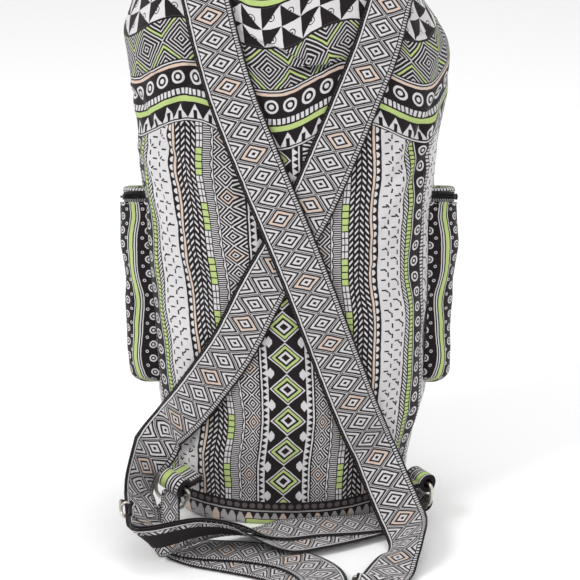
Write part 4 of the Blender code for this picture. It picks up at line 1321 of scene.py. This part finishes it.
def slide(side, at, t, w, body, node, loop_node):
    t = t.normalized()
    w = (w - t * w.dot(t)).normalized()
    n = t.cross(w)
    m = basis(t, w, n, at)
    fn = -(STRAP_T / 2 + 0.35 + 1.1)
    bn = STRAP_T / 2 + 0.35 + 3.0
    hx, hy, r = BUCKLE_L / 2 - 1.45, BUCKLE_W / 2 - 1.5, 3.4
    loc = []
    for cx, cy, a0 in ((hx - r, hy - r, 0), (-hx + r, hy - r, 90), (-hx + r, -hy + r, 180), (hx - r, -hy + r, 270)):
        for k in range(8):
            a = math.radians(a0 + 90 * k / 7)
            loc.append(Vector((cx + r * math.cos(a), cy + r * math.sin(a), fn)))
    dense = []
    for i in range(len(loc)):
        a, b = loc[i], loc[(i + 1) % len(loc)]
        k = max(1, int((b - a).length / 2.0))
        dense += [a.lerp(b, j / k) for j in range(k)]
    parts = [tube("f", [m @ p for p in dense], 1.38, M_METAL, closed=True, sides=16)]
    # raised bar: rises from the side rails in small arches
    bar = []
    for s in (-1, 1):
        leg = [Vector((0, s * (hy - 0.1), fn)), Vector((0, s * (hy + 0.1), fn + 1.6)), Vector((0, s * (hy - 0.2), bn - 1.6)),
               Vector((0, s * (hy - 1.0), bn - 0.5)), Vector((0, s * (hy - 2.4), bn))]
        bar.append(leg)
    path = bar[0] + [Vector((0, y, bn)) for y in np.linspace(-hy + 4, hy - 4, 18)] + bar[1][::-1]
    fine = []
    for i in range(len(path) - 1):
        idx = [max(i - 1, 0), i, i + 1, min(i + 2, len(path) - 1)]
        for j in range(3):
            fine.append(catmull([path[q] for q in idx], j / 3))
    fine.append(path[-1])
    parts.append(tube("b", [m @ p for p in fine], 1.28, M_METAL, sides=14))
    me = joined("strap_slide_" + side, parts)
    me.shade_smooth()
    piece("strap_slide_" + side, me, body, "antique_metal", node)
    # sewn end of the strap, folded round the bar: two leaves that close on each other
    half = STRAP_W / 2 - 0.6
    prof = []
    r_in = 1.62
    tail = 14.0
    leaf = 0.66
    top = [(tail, leaf * 0.98)]
    for k in range(7):
        f = k / 6
        top.append((tail - (tail - 4.2) * f - 0.0, leaf + 0.06 * math.sin(math.pi * f)))
    r_out = 3.0
    a0 = math.asin(leaf / r_out) + 0.32
    top.append((r_out * math.cos(a0 * 0.8) + 0.55, leaf + 0.35))
    arc = []
    for k in range(25):
        a = a0 + (2 * math.pi - 2 * a0) * k / 24
        arc.append((r_out * math.cos(a), r_out * math.sin(a)))
    low = [(x, -y) for x, y in top[::-1]]
    outline = top[1:] + arc + low[:-1]
    rows, K = [], 15
    ys = np.linspace(-half, half, K)
    pts = np.zeros((len(outline), K, 3))
    for i, (x, z) in enumerate(outline):
        for k, y in enumerate(ys):
            q = m @ Vector((x, y, bn + z))
            pts[i, k] = q
    uv = np.zeros((len(outline), K, 4))
    run = 0.0
    for i in range(len(outline)):
        if i:
            run += math.hypot(outline[i][0] - outline[i - 1][0], outline[i][1] - outline[i - 1][1])
        for k in range(K):
            uv[i, k] = (ys[k] * 1.03, run, ys[min(k + 1, K - 1)] * 1.03, run)
    me = grid_mesh("strap_end_cloth_" + side, pts, False, [M_STRAP], uv)
    bm = bmesh.new()
    bm.from_mesh(me)
    bm.to_mesh(me)
    bm.free()
    me.shade_smooth()
    ob = add("strap_end_cloth_" + side, me)
    sol = ob.modifiers.new("cloth", "SOLIDIFY")
    sol.thickness = 1.15 * MM
    sol.offset = -1.0
    bpy.context.view_layer.update()
    dg = bpy.context.evaluated_depsgraph_get()
    me2 = bpy.data.meshes.new_from_object(ob.evaluated_get(dg))
    bpy.data.objects.remove(ob, do_unlink=True)
    me2.name = "strap_end_cloth_" + side
    ob = piece("strap_end_cloth_" + side, me2, body, "strap_canvas", loop_node)
    rows = []
    for x in (5.2, 8.2):
        rows.append([(m @ Vector((x, y, bn + leaf + 0.05)), n) for y in np.linspace(-half + 1, half - 1, 9)])
    rows.append([(m @ Vector((12.4, y, bn + leaf)), n) for y in np.linspace(-half + 1, half - 1, 9)])
    piece("strap_end_stitch_" + side, stitches("strap_end_stitch_" + side, rows, M_THREAD, 1.7, 1.0, 0.28),
          body, "strap_canvas")


slide("left", RIGHT_MID, RIGHT_DIR, RIGHT_RUN_W, "slide_left", "buckle_left", "strap_end_left")
slide("right", LEFT_RUN0.lerp(LEFT_RUN1, 0.5), LEFT_RUN1 - LEFT_RUN0, LEFT_RUN_W, "slide_right",
      "buckle_right", "strap_end_right")


# ================================================================ tabs
def tab_print(tree, u, v):
    """Stripes round the roll: v runs along its axis."""
    c = paint(tree, INK, PALE, between(v, -10.2, -9.2))
    c = paint(tree, c, LIME, between(v, -8.2, -3.6))
    c = paint(tree, c, PALE, between(v, -2.4, -0.9))
    c = paint(tree, c, PALE, between(v, 0.4, 1.1))
    c = paint(tree, c, PALE, between(v, 2.6, 4.2))
    c = paint(tree, c, PALE, both(between(v, 5.6, 8.4), below(near(u, 3.2), 0.9)))
    return c


M_TAB = make_print("tab_canvas_print", tab_print, wobble=0.3)


def outside_body(p, clear=0.5):
    """Whether a point lies on or outside the body's surface, grown by clear."""
    a, b, n, lx = half_w(p.z) + clear, half_d(p.z) + clear, squareness(p.z), lean(p.z)
    return (abs(p.x - lx) / a) ** n + (abs(p.y) / b) ** n >= 1.0


def tab(side, at, axis, inward, tail, node, sign):
    x = (inward - axis * inward.dot(axis)).normalized()
    y = axis.cross(x)
    r_out, r_in, thick = 8.0, 4.2, 2.0
    a0 = math.asin(thick / r_out)
    loop = []
    for k in range(41):
        a = a0 + (2 * math.pi - 2 * a0) * k / 40
        wob = 0.22 * math.sin(3 * a + 0.5)
        loop.append((math.cos(a) * (r_out + wob - 0.15), math.sin(a) * (r_out + wob - 0.15)))
    tail_top = []
    k = 0
    s = r_out * math.cos(a0)
    while s < tail:
        p = at + x * s
        if not outside_body(p, -1.0):
            break
        tail_top.append(s)
        s += 1.5
    end = tail_top[-1] if tail_top else s
    outer = [(q, thick) for q in tail_top[::-1]] + loop + [(q, -thick) for q in tail_top]
    inner = []
    for k in range(len(outer)):
        inner.append(None)
    # closed outline of the cloth: outer round, then inner round the bore
    half = 11.0
    nz = 21
    zs = np.linspace(-half, half, nz)
    pts = np.zeros((len(outer), nz, 3))
    uv = np.zeros((len(outer), nz, 4))
    run = 0.0
    for i, (px, py) in enumerate(outer):
        if i:
            run += math.hypot(px - outer[i - 1][0], py - outer[i - 1][1])
        for k, z in enumerate(zs):
            e = min(half - abs(z), 0.8) / 0.8
            ro = 1 - (1 - e) ** 2 * 0.06
            pts[i, k] = at + (x * px + y * py) * ro + axis * z
            k2 = min(k + 1, nz - 1)
            uv[i, k] = (run, sign * z, run, sign * zs[k2])
    me = grid_mesh("t", pts, False, [M_TAB], uv)
    # bore
    nb = 32
    ptsb = np.zeros((nb + 1, nz, 3))
    uvb = np.zeros((nb + 1, nz, 4))
    for i in range(nb + 1):
        a = -2 * math.pi * i / nb
        for k, z in enumerate(zs):
            ptsb[i, k] = at + (x * math.cos(a) + y * math.sin(a)) * r_in + axis * z
            uvb[i, k] = (i, 0.2 * z, i, 0.2 * z)
    meb = grid_mesh("b", ptsb, False, [M_DARK], uvb)
    # ends
    caps = []
    for s in (-1, 1):
        bm = bmesh.new()
        uvl = bm.loops.layers.uv.new("print")
        o = [bm.verts.new(Vector(pts[i, 0 if s < 0 else nz - 1]) * MM) for i in range(len(outer))]
        c = [bm.verts.new(Vector(ptsb[i, 0 if s < 0 else nz - 1]) * MM) for i in range(nb)]
        # strips between the loop part and the bore, by angle
        n0 = len(tail_top)
        ring = o[n0:n0 + 41]
        def bore_at(i):
            a = a0 + (2 * math.pi - 2 * a0) * i / 40
            return c[int(round(-a / (2 * math.pi) * nb)) % nb]
        for i in range(40):
            q = [ring[i], ring[i + 1], bore_at(i + 1), bore_at(i)]
            u2 = []
            for v_ in q:
                if v_ not in u2:
                    u2.append(v_)
            if len(u2) > 2:
                try:
                    bm.faces.new(u2)
                except ValueError:
                    pass
        # mouth of the tail
        for i in range(n0 - 1):
            bm.faces.new((o[n0 - 1 - i], o[n0 - 2 - i], o[len(o) - n0 + i + 1], o[len(o) - n0 + i]))
        if n0:
            u2 = []
            for v_ in (ring[0], o[n0 - 1], o[len(o) - n0], ring[40], bore_at(40), bore_at(0)):
                if v_ not in u2:
                    u2.append(v_)
            try:
                bm.faces.new(u2)
            except ValueError:
                pass
        mc = bpy.data.meshes.new("c")
        bm.to_mesh(mc)
        bm.free()
        mc.materials.append(M_DARK)
        caps.append(mc)
    me = joined("ring_tab_" + side, [me, meb] + caps)
    bm = bmesh.new()
    bm.from_mesh(me)
    bmesh.ops.remove_doubles(bm, verts=bm.verts, dist=2e-6)
    bmesh.ops.holes_fill(bm, edges=[e for e in bm.edges if e.is_boundary], sides=60)
    bmesh.ops.recalc_face_normals(bm, faces=bm.faces)
    bm.to_mesh(me)
    bm.free()
    me.shade_smooth()
    me.set_sharp_from_angle(angle=math.radians(50))
    piece("ring_tab_" + side, me, "bag", "pocket_canvas", node)


tab("left", TAB_L, AXIS_L, V(.53, .847, 0), 38, "tab_left", 1.0)
tab("right", TAB_R, AXIS_R, V(-.86, -.50, 0), 24, "tab_right", 1.0)


# ================================================================ side pockets
POCKET_Y0, POCKET_Y1, POCKET_R = -30.0, 50.0, 14.0
POCKET_Z0 = 109.0
SLUMP = 0.28


def slump(me):
    """Let the upper part of a pocket's piece fall away towards the front of the bag."""
    co = np.zeros(len(me.vertices) * 3)
    me.vertices.foreach_get("co", co)
    co = co.reshape(-1, 3)
    g = np.clip((co[:, 2] / MM - 200.0) / 62.0, 0, 1)
    co[:, 2] -= SLUMP * (co[:, 1] - POCKET_Y0 * MM) * g
    me.vertices.foreach_set("co", co.ravel())
    me.update()
    return me


def pocket_face(z, sign):
    return 128.0 + (z - 117.0) * 4.6 / 141.0 + (5.2 if sign > 0 else 0.0)


def body_side_x(y, z, sign):
    """Distance of the body's side from the middle plane at y, z."""
    a, b, n = half_w(z), half_d(z), squareness(z)
    u = min(abs(y) / b, 0.999)
    return a * (1 - u ** n) ** (1 / n) + sign * lean(z)


def u_path(z, inset, sign, count_face=34, count_side=18, count_arc=10):
    """Plan curve of the pocket at height z: from the body, round the two outer corners, back to the body."""
    x1 = pocket_face(z, sign) - inset
    y0, y1 = POCKET_Y0 + inset, POCKET_Y1 - inset
    r = max(POCKET_R - inset, 2.0)
    xa = body_side_x(y0, z, sign) + 0.1
    xb = body_side_x(y1, z, sign) + 0.1
    pts = []
    for k in range(count_side):
        pts.append((xa + (x1 - r - xa) * k / count_side, y0))
    for k in range(count_arc):
        a = math.radians(-90 + 90 * k / count_arc)
        pts.append((x1 - r + r * math.cos(a), y0 + r + r * math.sin(a)))
    for k in range(count_face):
        pts.append((x1, y0 + r + (y1 - y0 - 2 * r) * k / count_face))
    for k in range(count_arc):
        a = math.radians(90 * k / count_arc)
        pts.append((x1 - r + r * math.cos(a), y1 - r + r * math.sin(a)))
    for k in range(count_side + 1):
        pts.append((x1 - r + (xb - (x1 - r)) * k / count_side, y1))
    return np.array([(sign * x, y, z) for x, y in pts])


def path_normals(pts, sign):
    d = np.gradient(pts[:, :2], axis=0)
    l = np.hypot(d[:, 0], d[:, 1])
    nx, ny = d[:, 1] / l, -d[:, 0] / l
    return sign * nx, sign * ny


def face_coord(pts, sign):
    seg = np.hypot(*np.diff(pts[:, :2], axis=0).T)
    cum = np.concatenate([[0], np.cumsum(seg)])
    return cum


def pocket(side, sign):
    # ---- pocket cloth
    zs = np.concatenate([[109.0, 109.4, 110.6, 112.6, 115.2, 118.5], np.linspace(122, 259, 70), [261, 262.6, 264.0]])
    rows, uvr = [], []
    for z in zs:
        f = max(0.0, 1 - (z - POCKET_Z0) / 9.0)
        inset = 7.0 * f ** 2.2
        p = u_path(max(z, 111.0), inset, sign)
        p[:, 2] = z
        nx, ny = path_normals(p, sign)
        cum = face_coord(p, sign)
        mid = cum[-1] / 2
        s = cum - mid
        on_face = smooth01((48 - np.abs(s)) / 20)
        # soft body: the filled-out middle, slack dents and vertical creases by the corners
        bulge = on_face * (1.2 * math.sin(math.pi * (z - POCKET_Z0) / 155.0) - 0.3)
        d = bulge + 0.6 * np.sin(s / 9.0 + z / 21.0) * on_face
        d += 1.0 * math.sin(z / 17.0 + 0.8 * sign) * (0.6 + 0.4 * np.cos(s / 30.0))
        d += 0.6 * np.sin(z / 9.0 + s / 23.0) * np.sin(s / 17.0 + 1.0)
        d += 0.7 * np.exp(-((np.abs(s) - 36) / 3.4) ** 2) * math.sin(z / 7.0 + 0.6)
        d -= 0.8 * np.exp(-((z - 262.0) / 2.0) ** 2)
        ends = smooth01(np.minimum(np.arange(len(s)), len(s) - 1 - np.arange(len(s))) / 4.0)
        d = np.clip(d, -2.0, 2.6) * ends
        p[:, 0] += nx * d
        p[:, 1] += ny * d
        rows.append(p)
        uvr.append(np.stack([s, np.full(len(s), z)], -1))
    rows = np.array(rows)
    uvr = np.array(uvr)
    # bottom: pull in to the body under the lowest row
    J, K = rows.shape[:2]
    nrm = np.zeros((J, K, 3))
    for j in range(J):
        nx, ny = path_normals(rows[j], sign)
        nrm[j, :, 0], nrm[j, :, 1] = nx, ny
    inner = rows - nrm * 1.5
    inner[:8, :, 2] += 1.5
    pts = np.concatenate([inner[::-1], rows], 0) if False else np.concatenate([rows, inner[::-1]], 0)
    uvp = np.concatenate([uvr, uvr[::-1]], 0)
    uv = np.zeros((*pts.shape[:2], 4))
    uv[:, :, 0:2] = uvp
    uv[:, :-1, 2:4] = uvp[:, 1:]
    me = grid_mesh("p", pts, False, [M_POCKET, M_LINING], uv)
    idx = np.zeros((2 * J - 1, K - 1), np.int32)
    idx[J:] = 1
    me.polygons.foreach_set("material_index", idx.ravel())
    # bottom sheet
    bm = bmesh.new()
    bm.from_mesh(me)
    bm.verts.ensure_lookup_table()
    uvl = bm.loops.layers.uv.get("print")
    low = [bm.verts[k] for k in range(K)]
    f = bm.faces.new(low if sign < 0 else low[::-1])
    for l in f.loops:
        l[uvl].uv = (l.vert.co.x, l.vert.co.y)
    inn = [bm.verts[(2 * J - 1) * K + k] for k in range(K)]
    f = bm.faces.new(inn[::-1] if sign < 0 else inn)
    for l in f.loops:
        l[uvl].uv = (l.vert.co.x, l.vert.co.y)
    f.material_index = 1
    # side edges by the body
    for c in (0, K - 1):
        col = [bm.verts[j * K + c] for j in range(2 * J)]
        for j in range(J - 1):
            q = (col[j], col[j + 1], col[2 * J - 2 - j], col[2 * J - 1 - j])
            f = bm.faces.new(q if (c == 0) else q[::-1])
            f.material_index = 1
    bmesh.ops.recalc_face_normals(bm, faces=bm.faces)
    me2 = bpy.data.meshes.new("pocket_cloth_" + side)
    bm.to_mesh(me2)
    bm.free()
    for m in (M_POCKET, M_LINING):
        me2.materials.append(m)
    me2.shade_smooth()
    me2.set_sharp_from_angle(angle=math.radians(60))
    piece("pocket_cloth_" + side, slump(me2), "bag", "pocket_canvas", "pocket_" + side)
    # ---- zip: lower tape with a ticked edge, teeth, upper tape
    J = 8
    tz = np.linspace(264.1, 272.4, J)
    rows = []
    for z in tz:
        f = abs((z - 268.25) / 4.1)
        p = u_path(z, 3.0 + 0.25 * (1 - f * f), sign)
        rows.append(p)
    rows = np.array(rows)
    K = rows.shape[1]
    inner = rows.copy()
    for j in range(J):
        nx, ny = path_normals(rows[j], sign)
        inner[j, :, 0] -= nx * 1.3
        inner[j, :, 1] -= ny * 1.3
    pts = np.concatenate([rows, inner[::-1], rows[:1]], 0)
    uvp = np.zeros((len(pts), K, 2))
    cum = face_coord(rows[0], sign)
    for j in range(len(pts)):
        uvp[j, :, 0] = cum - cum[-1] / 2
        uvp[j, :, 1] = (tz[j] if j < J else tz[2 * J - 1 - j] if j < 2 * J else tz[0]) - 268.25
    uv = np.zeros((*pts.shape[:2], 4))
    uv[:, :, 0:2] = uvp
    uv[:, :-1, 2:4] = uvp[:, 1:]
    me = grid_mesh("zip_tape_cloth_" + side, pts, False, [M_ZIPTAPE], uv)
    bm = bmesh.new()
    bm.from_mesh(me)
    bmesh.ops.remove_doubles(bm, verts=bm.verts, dist=1e-6)
    bmesh.ops.holes_fill(bm, edges=[e for e in bm.edges if e.is_boundary], sides=80)
    bmesh.ops.recalc_face_normals(bm, faces=bm.faces)
    bm.to_mesh(me)
    bm.free()
    me.shade_smooth()
    me.set_sharp_from_angle(angle=math.radians(60))
    piece("zip_tape_cloth_" + side, slump(me), "bag", "zip_tape", "zip_tape_" + side)
    # teeth: two rows of small blocks that mesh
    mid = u_path(268.25, 2.75, sign)
    cum = face_coord(mid, sign)
    verts, faces = [], []
    nx, ny = path_normals(mid, sign)
    pitch = 1.5
    count = int((cum[-1] - 8) / (pitch / 2))
    for i in range(count):
        s = 4 + i * pitch / 2
        x, y = np.interp(s, cum, mid[:, 0]), np.interp(s, cum, mid[:, 1])
        ax, ay = np.interp(s, cum, nx), np.interp(s, cum, ny)
        l = math.hypot(ax, ay)
        out = Vector((ax / l, ay / l, 0))
        run = Vector((-out.y, out.x, 0))
        zc = 268.25 + (0.75 if i % 2 else -0.75)
        c = Vector((x, y, zc))
        base = len(verts)
        for o, w_ in ((0.0, 1.0), (0.62, 0.72)):
            for sx, sz in ((-1, -1), (1, -1), (1, 1), (-1, 1)):
                verts.append(c + out * (o - 0.15) + run * sx * 0.36 * w_ + V(0, 0, sz * 1.15 * (w_ * 0.5 + 0.5)))
        for q in ((0, 1, 5, 4), (1, 2, 6, 5), (2, 3, 7, 6), (3, 0, 4, 7), (4, 5, 6, 7), (3, 2, 1, 0)):
            faces.append(tuple(base + k for k in q))
    me = bpy.data.meshes.new("zip_teeth_" + side)
    me.from_pydata([tuple(v * MM) for v in verts], [], faces)
    me.materials.append(M_TEETH)
    bm = bmesh.new()
    bm.from_mesh(me)
    bmesh.ops.recalc_face_normals(bm, faces=bm.faces)
    bm.to_mesh(me)
    bm.free()
    me.update()
    piece("zip_teeth_" + side, slump(me), "bag", "zip_tape")
    # stitch line on the pocket's upper edge
    rows = []
    for z, ins in ((262.4, 0.5),):
        p = u_path(z, ins, sign)
        nx, ny = path_normals(p, sign)
        rows.append([(Vector(p[k]), Vector((nx[k], ny[k], 0))) for k in range(4, len(p) - 4)])
    me = stitches("pocket_stitch_" + side, rows, M_THREAD, 1.8, 1.1, 0.26, 0.1)
    piece("pocket_stitch_" + side, slump(me), "bag", "pocket_canvas")
    # ---- hood
    prof = [(272.7, 3.0), (273.0, 2.75), (274.0, 2.7), (275.0, 2.95), (275.9, 3.7), (276.7, 5.2), (277.3, 7.6),
            (277.5, 10.5), (277.0, 10.8), (276.2, 8.0), (275.5, 5.8), (274.6, 4.6), (273.4, 4.3), (272.7, 4.3)]
    rows, uvr = [], []
    run = 0.0
    for i, (z, ins) in enumerate(prof):
        if i:
            run += math.hypot(z - prof[i - 1][0], ins - prof[i - 1][1])
        p = u_path(min(z, 277.5), ins, sign)
        cum = face_coord(p, sign)
        s = cum - cum[-1] / 2
        wave = 0.35 * np.sin(s / 8.0) * (1 if ins < 6 else 0.5)
        p[:, 2] = z + wave * (1 if 273 < z else 0)
        rows.append(p)
        uvr.append(np.stack([s, np.full(len(s), run)], -1))
    rows.append(rows[0])
    uvr.append(uvr[0])
    rows, uvr = np.array(rows), np.array(uvr)
    uv = np.zeros((*rows.shape[:2], 4))
    uv[:, :, 0:2] = uvr
    uv[:, :-1, 2:4] = uvr[:, 1:]
    me = grid_mesh("pocket_hood_cloth_" + side, rows, False, [M_HOOD], uv)
    bm = bmesh.new()
    bm.from_mesh(me)
    bmesh.ops.remove_doubles(bm, verts=bm.verts, dist=1e-6)
    bmesh.ops.holes_fill(bm, edges=[e for e in bm.edges if e.is_boundary], sides=80)
    bmesh.ops.recalc_face_normals(bm, faces=bm.faces)
    bm.to_mesh(me)
    bm.free()
    me.shade_smooth()
    me.set_sharp_from_angle(angle=math.radians(60))
    piece("pocket_hood_cloth_" + side, slump(me), "bag", "pocket_canvas", "pocket_hood_" + side)
    # top sheet of the hood, from its rim in to the body
    rim = u_path(277.3, 10.4, sign)
    rows = []
    for f in np.linspace(0, 1, 6):
        r = rim.copy()
        for k in range(len(r)):
            y = r[k, 1]
            bx = sign * (body_side_x(y, 277.5 - SLUMP * (y - POCKET_Y0), sign) - 0.6)
            r[k, 0] = r[k, 0] * (1 - f) + bx * f
            r[k, 2] = 277.2 - 2.4 * math.sin(math.pi * f) + 0.4 * f * f + 0.3 * math.sin(y / 9.0) * f * (1 - f) * 4
        rows.append(r)
    rows = np.array(rows)
    uv = np.zeros((*rows.shape[:2], 4))
    cum = face_coord(rows[0], sign)
    for j in range(len(rows)):
        uv[j, :, 0] = cum - cum[-1] / 2
        uv[j, :, 1] = 12 + j * 1.5
    uv[:, :-1, 2:4] = uv[:, 1:, 0:2]
    me = grid_mesh("pocket_hood_top_" + side, rows, False, [M_HOOD], uv)
    ob = add("pocket_hood_top_" + side, me)
    sol = ob.modifiers.new("cloth", "SOLIDIFY")
    sol.thickness = 0.9 * MM
    sol.offset = 0.0
    bpy.context.view_layer.update()
    me2 = bpy.data.meshes.new_from_object(ob.evaluated_get(bpy.context.evaluated_depsgraph_get()))
    bpy.data.objects.remove(ob, do_unlink=True)
    me2.name = "pocket_hood_top_" + side
    me2.shade_smooth()
    piece("pocket_hood_top_" + side, slump(me2), "bag", "pocket_canvas")


def tape_print(tree, u, v):
    """Black tape with a herringbone rib; the strip under the teeth is ticked cloth."""
    r = below(near(u + abs(v) * 1.0, 2.2), 0.5, 0.3)
    c = paint(tree, (0.008, 0.007, 0.008), (0.020, 0.018, 0.020), r)
    k = paint(tree, GREY, INK, below(near(u + v * 0.4, 1.9), 0.42))
    return paint(tree, c, k, both(below(v, -1.7), above(v, -3.9)))


def hood_print(tree, u, v):
    c = paint(tree, INK, PALE, both(between(v, 0.6, 3.4), above(near(u, 2.4), 0.45)))
    c = paint(tree, c, LIME, both(between(v, 4.4, 6.2), above(near(u, 16.0), 1.2)))
    c = paint(tree, c, dashes(tree, u, v, 7.0), above(v, 7.6))
    return c


M_ZIPTAPE = make_print("zip_tape_print", tape_print, wobble=0.1, pitch=0.9, weave=0.7)
M_HOOD = make_print("hood_canvas_print", hood_print)
pocket("left", -1)
pocket("right", 1)


# ================================================================ carried-over hard parts
def repaint(node, mat):
    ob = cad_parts[node]
    me = ob.data
    me.materials.clear()
    me.materials.append(mat)


for n in ("eyelet_left", "eyelet_right"):
    repaint(n, M_METAL)
for n in ("zip_slider_left", "zip_slider_right", "zip_pull_left", "zip_pull_right"):
    repaint(n, M_ZIP)


def object_cloth(name, colour, pitch=0.8):
    """Cloth for a carried-over part that has no print map: weave in the floor plane."""
    mat, tree, shader = new_material(name)
    tc = tree.nodes.new("ShaderNodeTexCoord")
    cloth_finish(tree, shader, tc.outputs["Object"], colour, pitch=pitch, weave=0.5, grime=0.3)
    return mat


repaint("base_panel", object_cloth("base_cloth", (0.016, 0.0115, 0.0135)))
